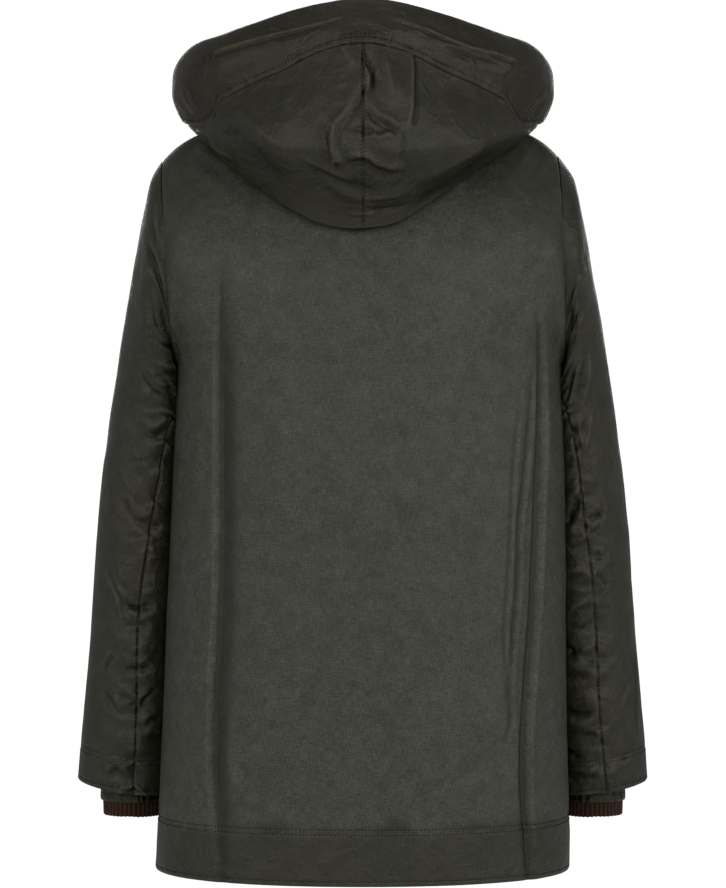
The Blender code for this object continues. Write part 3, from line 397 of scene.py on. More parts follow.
@lru_cache
def back_map():
    """A map of the back's smooth form: its y over a grid of x and z."""
    across, levels = np.linspace(0, 1, 61), np.linspace(-0.2, 1, 73)
    x_grid, z_grid = np.linspace(-0.195, 0.195, 79), np.linspace(-0.25, 0.0, 76)
    rows = {side: [smooth_body(side, BACK, across, level) for level in levels]
            for side in (LEFT, RIGHT)}
    y_grid = []
    for x in x_grid:
        cuts = [(np.interp(abs(x), np.abs(row[:, 0]), row[:, 1]),
                 np.interp(abs(x), np.abs(row[:, 0]), row[:, 2]))
                for row in rows[LEFT if x >= 0 else RIGHT]]
        y, z = np.array(cuts).T
        y_grid.append(np.interp(z_grid, z, y))
    return x_grid, z_grid, np.array(y_grid)


def back_at(x, z):
    x_grid, z_grid, y_grid = back_map()
    i, k = (np.clip((at - grid[0]) / (grid[1] - grid[0]), 0, len(grid) - 1.001)
            for at, grid in ((x, x_grid), (z, z_grid)))
    i0, k0 = i.astype(int), k.astype(int)
    low = mix(y_grid[i0, k0], y_grid[i0 + 1, k0], i - i0)
    high = mix(y_grid[i0, k0 + 1], y_grid[i0 + 1, k0 + 1], i - i0)
    return mix(low, high, k - k0)


def hood_skin(angles, along):
    """Points of the hood at angles from the centre back, 0 along at the neck and 1 at its edge."""
    along = np.broadcast_to(along, angles.shape)
    places = np.array([0.0] + [HOOD_LINES[name][0] for name in HOOD_LINES])
    lines = [neck_line(angles)] + [hood_line(name, angles) for name in HOOD_LINES]
    row = through_each(places, np.array(lines), along)
    near, far = LYING_ANGLES
    lying = ease((along - STAND) / 0.08) * (1 - ease((along - FOLD) / (BELLY - FOLD)))
    lying = lying * ease((far - np.abs(angles)) / (far - near))
    off = mix(HOOD_OFF_BACK, HOOD_OFF_FOLD, ease((along - 0.2) / (FOLD - 0.2)))
    row[:, 1] = mix(row[:, 1], back_at(row[:, 0], row[:, 2]) + off, lying)
    return row


def brim_seam(angles):
    """How far along the hood its brim is sewn on."""
    start, end = SEAM_TURNS
    return mix(BRIM_SEAM, SEAM_LOW, ease((np.abs(angles) - start) / (end - start)))


# ---------------------------------------------------------------- creases
# A crease runs along a path of places on the cloth. It stands out by its height (or sinks, if
# that is negative), spreads to the two sides of its path by near and far, and has a valley of
# a share of its height at a distance on the far side.
Crease = namedtuple("Crease", "height near far valley at path")


def smooth_path(path, count=28):
    path = np.array(path, float)
    length = np.concatenate([[0], np.cumsum(np.linalg.norm(np.diff(path, axis=0), axis=1))])
    if len(path) < 3:
        return path
    return through(length / length[-1], path, np.linspace(0, 1, count))


def crease_heights(u, v, some_creases):
    """How far some creases move the cloth out at places (u, v), in metres of cloth."""
    out = np.zeros(u.shape)
    for crease in some_creases:
        path = smooth_path(crease.path)
        reach = 3 * max(crease.near, crease.far) + abs(crease.at)
        close = ((u > path[:, 0].min() - reach) & (u < path[:, 0].max() + reach)
                 & (v > path[:, 1].min() - reach) & (v < path[:, 1].max() + reach))
        if not close.any():
            continue
        pu, pv = u[close], v[close]
        best, signed, share = np.full(pu.shape, np.inf), np.zeros(pu.shape), np.zeros(pu.shape)
        count = len(path) - 1
        for k in range(count):
            (au, av), (du, dv) = path[k], path[k + 1] - path[k]
            t = np.clip(((pu - au) * du + (pv - av) * dv) / (du * du + dv * dv + 1e-12), 0, 1)
            distance = np.hypot(pu - au - t * du, pv - av - t * dv)
            nearer = distance < best
            best = np.where(nearer, distance, best)
            side = np.sign(du * (pv - av) - dv * (pu - au))
            signed = np.where(nearer, side * distance, signed)
            share = np.where(nearer, (k + t) / count, share)
        spread = np.where(signed > 0, crease.near, crease.far)
        shape = np.exp(-((np.abs(signed) / spread) ** 1.2))
        if crease.valley:
            shape = shape - crease.valley * bump(signed + crease.at, crease.far)
        taper = ease(share / 0.3) * ease((1 - share) / 0.3)
        out[close] += crease.height * taper * shape
    return out


# Rows of creases give their sizes in millimetres and the valley as a share. The places are x and z
# in millimetres on the body, degrees round and thousandths along on a sleeve and on the hood.
RIGHT_FOLD = ((-170, -860), (-166, -724), (-163, -685), (-163, -634), (-167, -583), (-171, -531),
              (-175, -454), (-178, -394), (-180, -333), (-180, -242), (-174, -155))
FRONT_LEFT_FOLD = ((128, -150), (131, -300), (133, -480), (138, -660), (140, -960))
FRONT_RIGHT_FOLD = ((-137, -960), (-134, -700), (-131, -520), (-127, -340), (-124, -180))
BACK_CREASES = (
    (3.8, 20, 2.2, 0, 0, ((146, -112), (144, -199), (145, -316), (144, -417), (145, -495),
     (150, -673), (145, -726), (141, -860))),
    (-3.6, 2.4, 12, 0, 0, ((140, -112), (139, -199), (140, -316), (139, -417), (140, -495),
     (145, -673), (140, -726), (136, -860))),
    (4.4, 13, 3, 0.9, 6.4, RIGHT_FOLD),
    (0.5, 2.6, 1.8, 0.3, 4, RIGHT_FOLD),
    (2.2, 3.4, 2.2, 0.7, 4.6, ((-108, -695), (-115, -681), (-132, -648), (-144, -632), (-147, -581),
     (-151, -531), (-155, -480), (-156, -427), (-162, -380), (-168, -308), (-177, -222))),
    (1.5, 2.6, 2, 0.6, 4, ((-138, -638), (-142, -607), (-144, -581), (-141, -529), (-145, -478),
     (-150, -380), (-155, -320), (-165, -243))),
    (-0.9, 3, 3, 0, 0, ((-5, -203), (-16, -222), (-29, -243))),
    (-0.9, 3, 3, 0, 0, ((-27, -308), (-36, -325), (-44, -345))),
    (-0.8, 3, 3, 0, 0, ((-24, -374), (-32, -400), (-39, -435))),
    (0.7, 2.4, 2.4, 0, 0, ((61, -470), (16, -470), (-28, -466))),
    (1.2, 9, 9, 0, 0, ((-72, -115), (-54, -141), (-40, -174))),
    (1, 10, 8, 0.4, 18, ((61, -123), (73, -151), (78, -185))),
    (1.2, 8, 10, 0.4, 18, ((-141, -70), (-155, -105), (-162, -149))),
    (1.6, 6, 7, 0.5, 13, ((123, -75), (147, -55), (168, -40))),
    (1.2, 5, 6, 0.4, 11, ((136, -85), (158, -74), (184, -68))),
    (1.2, 6, 7, 0.4, 13, ((-176, -33), (-163, -54), (-148, -71))),
    (1, 7, 7, 0, 0, ((-86, -689), (-112, -671), (-141, -656))),
    (-0.8, 5, 5, 0, 0, ((-75, -679), (-96, -664), (-119, -656))),
    (0.8, 6, 6, 0.4, 12, ((124, -593), (128, -644), (120, -697))),
    (1, 6, 5, 0.5, 10, ((60, -769), (63, -748), (57, -724))),
)
HOOD_CREASES = (
    (1, 2.4, 3.4, 0.5, 6, ((0, 786), (14, 777), (33, 787), (45, 795), (66, 799), (80, 790))),
    (1, 3.4, 2.4, 0.5, 6, ((-74, 757), (-68, 770), (-52, 776), (-40, 762), (-25, 778), (-4, 782))),
    (1.9, 4, 5.2, 0.4, 8, ((8.7, 639), (5.5, 617), (1.4, 597))),
    (-3, 3.4, 3, 0, 0, ((-0.2, 640), (-0.8, 613), (-3.3, 592), (-2.7, 573), (-0.5, 560))),
    (1.6, 1.6, 1.6, 0, 0, ((-0.2, 604), (-1.7, 590), (-2, 579))),
    (-2.2, 3.4, 3, 0, 0, ((-1.1, 583), (0.5, 563), (3.6, 545))),
    (2.4, 3, 3.4, 0.5, 5.8, ((2.4, 568), (6.1, 543), (9.3, 526), (9.6, 509), (9.3, 492), (6.8, 482),
     (4.2, 478))),
    (-1.8, 3.6, 3, 0, 0, ((13.4, 547), (12.4, 521), (11.2, 496), (10.5, 472))),
    (1.4, 2.4, 2.8, 0.8, 5, ((5.2, 479), (8, 484), (10.9, 474))),
    (3.4, 10, 12, 0, 0, ((-7.1, 618), (-8.7, 585), (-9.9, 554))),
    (2.6, 8, 2.6, 0.4, 5, ((-17.6, 660), (-17.2, 618), (-16.4, 580), (-14.8, 540), (-13, 515))),
    (1.9, 2.2, 2.2, 0.8, 4.4, ((-13.1, 524), (-8.3, 537), (-4.2, 545), (-1.7, 563))),
    (-1.7, 2.4, 2.4, 0, 0, ((5.8, 526), (0.2, 524), (-4.6, 521), (-10.5, 529))),
    (1.9, 2.6, 3, 0, 0, ((-1.4, 518), (-5.5, 516), (-10.5, 522))),
    (2.5, 2.6, 2.6, 0.8, 5, ((-13.7, 479), (-9, 475), (-4.6, 480), (-1.4, 488), (3.3, 489),
     (7.4, 487))),
    (-1.4, 2.6, 2.6, 0, 0, ((-11.8, 524), (-12.7, 499), (-10.5, 471))),
    (-2.6, 4, 3.6, 0, 0, ((19.4, 480), (10.5, 462), (3.9, 451), (-0.2, 446), (-9.6, 441))),
    (2, 3.4, 3.4, 0, 0, ((21.2, 491), (13.1, 472), (5.8, 461), (0.2, 457))),
    (2.6, 5.5, 6, 0, 0, ((16.2, 468), (7.4, 446), (0.5, 436), (-8.3, 434), (-20.3, 446))),
    (1.6, 5, 6, 0, 0, ((-6.5, 458), (-10.2, 468), (-14, 478))),
    (2.6, 13, 11, 0.6, 24, ((18.1, 474), (30.4, 512), (49.6, 589))),
    (2.8, 11, 12, 0.6, 22, ((-47.1, 493), (-28.8, 461), (-13.4, 449))),
    (-0.9, 1.8, 2, 0, 0, ((0.2, 430), (-6.5, 430), (-13.1, 434))),
    (-1.2, 2, 2.2, 0, 0, ((1.4, 416), (-7.4, 415), (-17.8, 413))),
    (1.2, 2.4, 2.6, 0, 0, ((6.1, 413), (0.5, 408), (-5.2, 411))),
    (1.6, 11, 11, 0, 0, ((25.3, 601), (26.3, 555), (21.2, 513))),
    (1.4, 12, 12, 0, 0, ((-29.7, 594), (-29.7, 548), (-24.4, 500))),
    (1.6, 6, 6, 0.5, 12, ((45.8, 441), (57.4, 442), (69.7, 491))),
    (0.6, 4, 4, 0.4, 8, ((18.4, 758), (21.6, 713), (24.4, 688))),
    (0.5, 4, 4, 0.3, 8, ((-17.2, 790), (-20, 770), (-23.8, 741))),
    (1.5, 7, 7, 0.3, 14, ((-52.1, 764), (-39.8, 752), (-26.9, 734))),
    (-0.6, 5, 5, 0, 0, ((-30.7, 706), (-41.4, 722), (-54, 741))),
    (0.8, 6, 7, 0.3, 12, ((-13.4, 694), (-6.1, 714), (6.5, 748))),
    (1.6, 4, 4, 0.6, 8, ((-75.4, 734), (-73.2, 697), (-71.6, 615))),
    (1.4, 4, 4, 0.6, 8, ((73.2, 753), (72.9, 702), (71.6, 638))),
)
LEFT_SLEEVE_CREASES = (
    (1.6, 6, 6, 0.5, 12, ((47, 18), (65, 35), (86, 33))),
    (2.2, 5, 4.5, 0.6, 10, ((60, 82), (92, 30), (112, 0))),
    (2.2, 5, 4.8, 0.7, 10, ((55, 132), (101, 62), (138, 0))),
    (-2.2, 3, 3, 0, 0, ((94, 222), (117, 179), (148, 0))),
    (2, 3.6, 3.6, 0.5, 7.5, ((172, 20), (107, 244), (84, 267))),
    (-2.2, 5, 4.5, 0, 0, ((74, 314), (93, 321), (121, 302))),
    (2, 4.8, 4.8, 0, 0, ((89, 284), (101, 292), (118, 272))),
    (2, 4.5, 4, 0.6, 8.5, ((117, 347), (97, 389), (81, 394))),
    (-1.4, 3.4, 3.4, 0, 0, ((81, 414), (96, 414), (112, 394))),
    (1.8, 5, 4.5, 0.6, 10, ((105, 541), (82, 533), (71, 516))),
    (-1.2, 2.2, 2.2, 0, 0, ((99, 514), (108, 504), (118, 503))),
    (1.4, 2.6, 2.6, 0.6, 5, ((111, 596), (99, 594), (90, 608))),
    (-1.3, 2.2, 2.2, 0, 0, ((98, 556), (108, 554), (118, 546))),
    (1.8, 4, 3.4, 0, 0, ((59, 661), (74, 676), (93, 678))),
    (-3.2, 3.6, 3.4, 0, 0, ((66, 689), (90, 694), (114, 679))),
    (1.8, 3.4, 4, 0, 0, ((70, 706), (87, 715), (105, 701))),
    (1, 2.4, 2.4, 0.4, 5, ((34, 638), (61, 678), (78, 740))),
    (1.2, 3, 3, 0.6, 6, ((64, 770), (53, 790), (48, 811))),
    (-2.2, 3.6, 3.4, 0, 0, ((78, 791), (95, 793), (116, 781))),
    (1.6, 3.6, 3.6, 0, 0, ((75, 775), (94, 778), (114, 765))),
    (-1.6, 4.6, 4.2, 0, 0, ((53, 835), (69, 856), (81, 868), (95, 858))),
    (1.8, 4.6, 4.8, 0, 0, ((67, 840), (79, 853), (96, 843))),
    (-2.6, 2.8, 2.8, 0, 0, ((101, 851), (111, 831), (123, 815))),
    (1.8, 3.4, 3.4, 0.5, 7, ((127, 853), (112, 863), (102, 878))),
    (2, 4, 4, 0.6, 8.5, ((98, 967), (80, 952), (61, 972))),
    (1.4, 3.6, 3.6, 0.6, 7, ((130, 891), (115, 890), (106, 900))),
)
RIGHT_SLEEVE_CREASES = (
    (1.8, 5, 5, 0.5, 10, ((53, 199), (103, 43), (116, 0))),
    (2.2, 4.4, 4.4, 0.6, 9, ((95, 98), (113, 50), (128, 17))),
    (-3.4, 3.6, 3.4, 0, 0, ((111, 95), (131, 28), (145, 7))),
    (2.4, 5, 4, 0, 0, ((73, 215), (97, 202), (107, 222))),
    (2, 6, 6, 0.6, 12, ((68, 285), (77, 336), (92, 371))),
    (1.8, 4.6, 4.6, 0.6, 9, ((91, 269), (99, 306), (106, 344))),
    (1.6, 5, 5, 0.5, 10.5, ((70, 387), (79, 416), (87, 449))),
    (1.4, 4, 4, 0.5, 8, ((94, 376), (90, 409), (87, 439))),
    (2.2, 4, 4, 0, 0, ((112, 504), (102, 499), (93, 496))),
    (-4.4, 4.2, 4, 0, 0, ((93, 511), (102, 526), (116, 551))),
    (2.4, 4.4, 4.4, 0, 0, ((91, 528), (99, 544), (111, 568))),
    (-1.8, 2.6, 2.6, 0, 0, ((90, 554), (78, 551), (61, 548))),
    (1.6, 3, 3, 0, 0, ((90, 539), (80, 536), (67, 534))),
    (-1.4, 2.4, 2.4, 0, 0, ((88, 578), (79, 571), (70, 563))),
    (1.4, 2.8, 2.8, 0.6, 5.6, ((87, 603), (76, 603), (66, 614))),
    (-1.4, 2.6, 2.6, 0, 0, ((84, 636), (75, 648), (67, 669))),
    (1.4, 2.8, 2.6, 0.8, 5.2, ((117, 573), (99, 581), (88, 576))),
    (1.6, 3, 3, 0.8, 6, ((118, 624), (100, 626), (88, 626))),
    (-1.6, 2.6, 2.6, 0, 0, ((118, 644), (102, 653), (87, 654))),
    (1.8, 3.2, 3, 0.8, 6, ((120, 689), (100, 683), (85, 674))),
    (-1.6, 2.8, 2.8, 0, 0, ((121, 708), (102, 721), (84, 716))),
    (-3.6, 3.2, 3.2, 0, 0, ((134, 736), (115, 755), (109, 768))),
    (2.2, 3, 3, 0.7, 6.2, ((106, 760), (94, 756), (84, 748))),
    (1.8, 3.2, 3.2, 0, 0, ((124, 770), (110, 780), (92, 780))),
    (-1.7, 2.6, 2.6, 0, 0, ((132, 788), (105, 798), (85, 800))),
    (1.6, 3, 3, 0, 0, ((134, 801), (106, 813), (86, 811))),
    (-2.6, 3.6, 3.4, 0, 0, ((137, 841), (109, 863), (88, 861))),
    (2, 4, 4, 0, 0, ((131, 863), (110, 880), (88, 876))),
    (-1.4, 2.8, 2.8, 0, 0, ((133, 890), (110, 898), (88, 898))),
    (-2.2, 2.8, 2.8, 0, 0, ((142, 920), (123, 930), (111, 942))),
    (1.8, 3.2, 3.2, 0.7, 6, ((127, 952), (103, 960), (90, 953))),
    (-1.8, 2.8, 2.8, 0, 0, ((138, 957), (125, 970), (117, 982))),
    (1, 2.6, 2.6, 0.4, 5, ((23, 818), (46, 840), (64, 871))),
    (1.2, 2.8, 2.8, 0.5, 6, ((44, 943), (55, 953), (68, 962))),
    (0.9, 2.6, 2.6, 0.3, 5, ((21, 766), (26, 846), (34, 930))),
    (1.2, 6, 6, 0.4, 12, ((56, 437), (44, 492), (52, 551))),
)
SLEEVE_CREASES = {LEFT: LEFT_SLEEVE_CREASES, RIGHT: RIGHT_SLEEVE_CREASES}
FRONT_CREASES = (
    (4.4, 15, 10, 0.7, 19, FRONT_LEFT_FOLD),
    (1.1, 3, 2.4, 0.5, 5.5, FRONT_LEFT_FOLD),
    (4, 14, 10, 0.7, 18, FRONT_RIGHT_FOLD),
    (1, 2.8, 2.4, 0.5, 5.2, FRONT_RIGHT_FOLD),
    (2, 5, 4.4, 0.6, 9, ((-92, -720), (-100, -600), (-103, -470), (-108, -350), (-118, -230))),
    (1.6, 4.4, 4, 0.5, 8.5, ((96, -700), (94, -560), (88, -430), (92, -330))),
    (1.4, 4, 4, 0.5, 8, ((8, -236), (26, -228), (48, -236))),
    (1.2, 3.6, 4, 0.5, 8, ((-46, -300), (-26, -306), (-8, -316))),
    (-1, 3.4, 3.4, 0, 0, ((8, -430), (24, -436), (40, -430))),
    (-0.9, 3.2, 3.2, 0, 0, ((-38, -560), (-22, -556), (-8, -564))),
    (1.2, 4, 4, 0.5, 8, ((6, -640), (30, -650), (52, -640))),
    (-0.8, 3.4, 3.4, 0, 0, ((60, -250), (48, -268), (40, -292))),
    (-0.8, 3.4, 3.4, 0, 0, ((-66, -396), (-58, -420), (-56, -452))),
    (1.8, 7, 8, 0.4, 17, ((170, -70), (152, -88), (130, -104))),
    (1.8, 7, 8, 0.4, 17, ((-130, -102), (-150, -86), (-168, -68))),
    (1.2, 6, 6, 0.5, 12, ((-90, -690), (-112, -672), (-138, -656))),
)
# Lines where the hood's brim is turned over and worn pale: its angles, and thousandths along.
WORN_TURNS = (
    ((66, 799), (45, 795), (33, 787), (14, 777), (0, 786)),
    ((-4, 782), (-17, 787), (-25, 778), (-40, 762), (-52, 776), (-68, 770), (-74, 757)),
)


def creases(rows, across=0.001, down=0.001, deeper=1.0):
    """Creases from rows, whose places are scaled to metres of cloth."""
    return [Crease(deeper * height / 1000, near / 1000, far / 1000, valley, at / 1000,
                   [(u * across, v * down) for u, v in path])
            for height, near, far, valley, at, path in rows]


def turned_to_front(rows):
    """The same creases on the front of a sleeve, a little lower down and softer."""
    return [(0.85 * height, 1.1 * near, 1.1 * far, valley, at, [(-u - 4, v + 14) for u, v in path])
            for height, near, far, valley, at, path in rows]


# ---------------------------------------------------------------- cloth shells
def edge_lengths(grid):
    """Lengths of cloth from each point of a grid to its four edges."""
    along = np.linalg.norm(np.diff(grid, axis=1), axis=2)
    down = np.linalg.norm(np.diff(grid, axis=0), axis=2)
    left = np.concatenate([np.zeros((len(grid), 1)), np.cumsum(along, axis=1)], axis=1)
    first = np.concatenate([np.zeros((1, grid.shape[1])), np.cumsum(down, axis=0)], axis=0)
    return {"left": left, "right": left[:, -1:] - left, "first": first, "last": first[-1:] - first}


def lowest_near(values, reach):
    """A grid's values, each replaced by the least of those up to reach rows and columns away."""
    padded = np.pad(values, reach, mode="edge")
    rows, columns = values.shape
    low = np.min([padded[k:k + rows] for k in range(2 * reach + 1)], axis=0)
    return np.min([low[:, k:k + columns] for k in range(2 * reach + 1)], axis=0)


def quads(index, inward=False):
    """Faces between neighbouring rows and columns of a grid of point numbers."""
    corners = [index[:-1, :-1], index[:-1, 1:], index[1:, 1:], index[1:, :-1]]
    if inward:
        corners[1], corners[3] = corners[3], corners[1]
    return np.stack([corner.ravel() for corner in corners], axis=1).tolist()


def shell_faces(rows, columns, skip):
    """Faces of a closed shell of a fine outer grid and an inner grid of every skip-th point."""
    outer = np.arange(rows * columns).reshape(rows, columns)
    size = (rows - 1) // skip + 1, (columns - 1) // skip + 1
    inner = rows * columns + np.arange(size[0] * size[1]).reshape(size)
    faces = quads(outer) + quads(inner, inward=True)

    def round_it(grid):
        return np.concatenate([grid[0, :-1], grid[:-1, -1], grid[-1, :0:-1], grid[:0:-1, 0]])

    rim, lining = round_it(outer), round_it(inner)
    rim, lining = np.append(rim, rim[0]).tolist(), np.append(lining, lining[0]).tolist()
    for j in range(len(lining) - 1):
        middle = j * skip + skip // 2
        for m in range(j * skip, middle):
            faces.append((rim[m], lining[j], rim[m + 1]))
        faces.append((lining[j], lining[j + 1], rim[middle]))
        for m in range(middle, (j + 1) * skip):
            faces.append((rim[m], lining[j + 1], rim[m + 1]))
    return faces


def put_in_scene(name, data):
    """An object that holds the data, in the scene's own collection."""
    thing = bpy.data.objects.new(name, data)
    bpy.context.scene.collection.objects.link(thing)
    return thing


def new_piece(name, places, faces, material, uv=None, marks=()):
    """A smooth-shaded piece, with its pattern's places and its marks on its points."""
    mesh = bpy.data.meshes.new(name)
    mesh.from_pydata(np.asarray(places, float).reshape(-1, 3).tolist(), [], faces)
    mesh.update()
    if uv is not None:
        layer = mesh.uv_layers.new(name="cloth")
        index = np.empty(len(mesh.loops), np.int32)
        mesh.loops.foreach_get("vertex_index", index)
        layer.data.foreach_set("uv", np.asarray(uv, np.float32).reshape(-1, 2)[index].ravel())
    for mark, values in marks:
        attribute = mesh.attributes.new(mark, "FLOAT", "POINT")
        attribute.data.foreach_set("value", np.asarray(values, np.float32).ravel())
    mesh.materials.append(material)
    mesh.shade_smooth()
    mesh.set_sharp_from_angle(angle=math.radians(55))
    return put_in_scene(name, mesh)


def cloth_shell(name, grid, normals, out, material, marks, skip=4):
    """A closed shell of cloth: the form moved out by its creases, and a plainer inside."""
    outer = grid + normals * out[..., None]
    inside = lowest_near(out, skip)[::skip, ::skip] - COTTON
    inner = grid[::skip, ::skip] + normals[::skip, ::skip] * inside[..., None]
    lengths = edge_lengths(grid)
    uv = np.stack([lengths["left"] - lengths["left"][:, -1:] / 2, lengths["first"]], axis=2)
    faces = shell_faces(*out.shape, skip)
    mid = tuple(n // 2 for n in out.shape)
    a, b, c = outer[mid], outer[mid[0], mid[1] + 1], outer[mid[0] + 1, mid[1]]
    if np.dot(np.cross(b - a, c - a), normals[mid]) < 0:
        faces = [face[::-1] for face in faces]
    places = np.concatenate([outer.reshape(-1, 3), inner.reshape(-1, 3)])
    uv = np.concatenate([uv.reshape(-1, 2), uv[::skip, ::skip].reshape(-1, 2)])
    marks = [(mark, np.concatenate([values.ravel(), 0.5 * values[::skip, ::skip].ravel()]))
             for mark, values in marks]
    return new_piece(name, places, faces, material, uv, marks), outer


def turned_in(distance, rise=TURNED_IN, radius=0.0011):
    """How far cloth rises beside an edge that is turned in."""
    return rise * (1 - bump(distance, radius))


def stitch_groove(distance):
    """How far a row of stitching draws the cloth in."""
    return 0.00035 * bump(distance, 0.0009)


def ribbon_noise(along, size, seed):
    """Smooth noise along a seam."""
    table = np.random.default_rng(seed).uniform(-1, 1, 512)
    cell = np.floor(along / size).astype(int)
    f = ease(along / size - cell)
    return mix(table[cell % 512], table[(cell + 1) % 512], f)


def puckers(distance, along, height, seed, reach=0.010, size=0.0065):
    """Small gathers beside a line of stitching."""
    wave = ribbon_noise(along, size, seed)
    return height * wave * bump(distance, reach) * (1 - bump(distance, 0.0015))


def crumple(grid):
    """Soft unevenness all over the cloth."""
    wide = soft_noise(grid, 0.080, 11) * 0.0010 + soft_noise(grid, 0.034, 12) * 0.00050
    return wide + soft_noise(grid, 0.012, 13) * 0.00018


def crinkle(place, size, seed):
    """Sharp little ridges between flatter facets, from -1 to 1."""
    first = 1 - 2.4 * np.abs(soft_noise(place, size, seed))
    second = 1 - 2.4 * np.abs(soft_noise(place, 0.45 * size, seed + 1))
    return (first + 0.4 * second) / 1.4


def bends(relief, lengths):
    """How sharply the relief bends, in 1/m: above 0 on its crests, below 0 in its hollows."""
    total = np.zeros(relief.shape)
    for axis, run in ((0, lengths["first"]), (1, lengths["left"])):
        step = np.diff(run, axis=axis)
        slope = np.diff(relief, axis=axis) / step
        last = slope.shape[axis] - 1
        inside = (slice(1, -1), slice(None)) if axis == 0 else (slice(None), slice(1, -1))
        half = (np.take(step, range(last), axis) + np.take(step, range(1, last + 1), axis)) / 2
        total[inside] -= np.diff(slope, axis=axis) / half
    return blurred(total, 1)


def wear_and_crest_highlight(bend, edges, crest_highlight=0.15, worn=0.8):
    """Where cloth is worn pale along its edges, and a painted highlight on the crests of its
    creases.
    """
    crest = ease(bend / 260)
    along_edges = sum(bump(distance - 0.0016, 0.0016) for distance in edges)
    return np.clip(crest_highlight * crest + worn * along_edges, 0, 1)


def hem_wear(above_hem):
    return bump(above_hem - 0.0012, 0.0014)


def seam_shade(edges):
    """Painted shade: where the cloth is darkened beside its seams."""
    return np.clip(sum(bump(distance, 0.0013) for distance in edges), 0, 1)


def painted_hollow_shade(relief, bend, depth=0.0016):
    """Painted shade: where the cloth lies low or bends inwards, its colour is darkened."""
    return np.clip(ease(-relief / depth) + ease(-bend / 300), 0, 1)


def beside(grid, edge, distance, start=0.0, end=0.0):
    """Points on a grid along a line at a distance from one of its edges."""
    length = edge_lengths(grid)[edge]
    if edge in ("first", "last"):
        grid, length = grid.transpose(1, 0, 2), length.T
    if edge in ("right", "last"):
        grid, length = grid[:, ::-1], length[:, ::-1]
    line = np.array([[np.interp(distance, ell, row[:, k]) for k in range(3)]
                     for row, ell in zip(grid, length)])
    run = np.concatenate([[0], np.cumsum(np.linalg.norm(np.diff(line, axis=0), axis=1))])
    return line[(run >= start) & (run <= run[-1] - end)]


def on_grid(grid, rows, columns, start, end):
    """Points on a grid along a straight line between two of its places."""
    line = []
    for row, column in np.linspace(start, end, 24):
        i = min(np.searchsorted(rows, row, side="right") - 1, len(rows) - 2)
        crossing = mix(grid[i], grid[i + 1], (row - rows[i]) / (rows[i + 1] - rows[i]))
        line.append([np.interp(column, columns, crossing[:, k]) for k in range(3)])
    return np.array(line)


threads = []  # lines of topstitching: points, each a thread's path


def stitch_beside(grid, edge, *lines, **ends):
    threads.extend(beside(grid, edge, line, **ends) for line in lines)


# ---------------------------------------------------------------- materials
def new_material(name, **constants):
    material = bpy.data.materials.new(name)
    material.use_nodes = True
    shader = material.node_tree.nodes["Principled BSDF"]
    for socket, value in constants.items():
        shader.inputs[socket.replace("_", " ")].default_value = value
    return material, material.node_tree, shader


def finish_with(tree, shader, **outputs):
    """Links what the nodes work out to the shader's sockets."""
    for socket, output in outputs.items():
        tree.links.new(output, shader.inputs[socket.replace("_", " ")])


def add(tree, kind, inputs=(), **settings):
    """A node with its settings, and with each input a number or another node's output."""
    node = tree.nodes.new(kind)
    for key, value in settings.items():
        setattr(node, key, value)
    for socket, value in dict(inputs).items():
        if isinstance(value, bpy.types.NodeSocket):
            tree.links.new(value, node.inputs[socket])
        else:
            node.inputs[socket].default_value = value
    return node


def here_in(tree):
    """Places on the garment, in metres."""
    return add(tree, "ShaderNodeTexCoord").outputs["Object"]


def mark_in(tree, name):
    """A mark of the piece, such as where it is rubbed."""
    return add(tree, "ShaderNodeAttribute", attribute_name=name).outputs["Fac"]


def noise(tree, vector, scale, detail=3.0, rough=0.55, distortion=0.0):
    return add(tree, "ShaderNodeTexNoise", {
        "Vector": vector, "Scale": scale, "Detail": detail, "Roughness": rough,
        "Distortion": distortion}).outputs["Fac"]


def ridges(tree, vector, direction, scale, distortion=0.0, detail=2.0, detail_scale=1.0):
    """Even ridges across a direction, such as threads."""
    return add(tree, "ShaderNodeTexWave", {
        "Vector": vector, "Scale": scale, "Distortion": distortion, "Detail": detail,
        "Detail Scale": detail_scale}, bands_direction=direction).outputs["Fac"]


def ramp(tree, value, low, high, to_low=0.0, to_high=1.0):
    return add(tree, "ShaderNodeMapRange", {
        "Value": value, "From Min": low, "From Max": high, "To Min": to_low,
        "To Max": to_high}).outputs["Result"]


def maths(tree, operation, first, second=0.0):
    return add(tree, "ShaderNodeMath", {0: first, 1: second}, operation=operation).outputs[0]


def times(tree, first, second):
    return maths(tree, "MULTIPLY", first, second)


def blend(tree, share, first, second, how="MIX"):
    """The first colour with a share of the second mixed in, or multiplied by it."""
    factor, colour_a, colour_b, colour_out = 0, 6, 7, 2  # places of the node's colour sockets
    node = add(tree, "ShaderNodeMix", {factor: share, colour_a: first, colour_b: second},
               data_type="RGBA", blend_type=how)
    return node.outputs[colour_out]


def scaled(tree, colour, by):
    node = add(tree, "ShaderNodeVectorMath", {0: colour, "Scale": by}, operation="SCALE")
    return node.outputs[0]


def raised(tree, *layers):
    """Normals of a surface raised by layers of height, strength and distance, one on another."""
    normal = {}
    for height, strength, distance in layers:
        node = add(tree, "ShaderNodeBump", {
            "Height": height, "Strength": strength, "Distance": distance, **normal})
        normal = {"Normal": node.outputs[0]}
    return normal["Normal"]


WAXED = {
    "dark": (0.0310, 0.0332, 0.0255, 1),
    "light": (0.0480, 0.0515, 0.0415, 1),
    "brown": (0.0480, 0.0435, 0.0310, 1),
    "worn": (0.1250, 0.1000, 0.0400, 1),
    # The seam colour is painted shade along the seams.
    "seam": (0.0022, 0.0022, 0.0018, 1),
}
# Heavier wax and painted shade: the share of its colour that the cloth keeps where it is darkened.
WAX_AND_SHADE_DEEP = (0.26, 0.205, 0.125, 1)  # the share of its colour that well waxed cotton keeps
# Painted shade: the share of its colour that the cloth keeps in its hollows.
HOLLOW_SHADE = (0.38, 0.38, 0.36, 1)  # the share that it keeps in its hollows


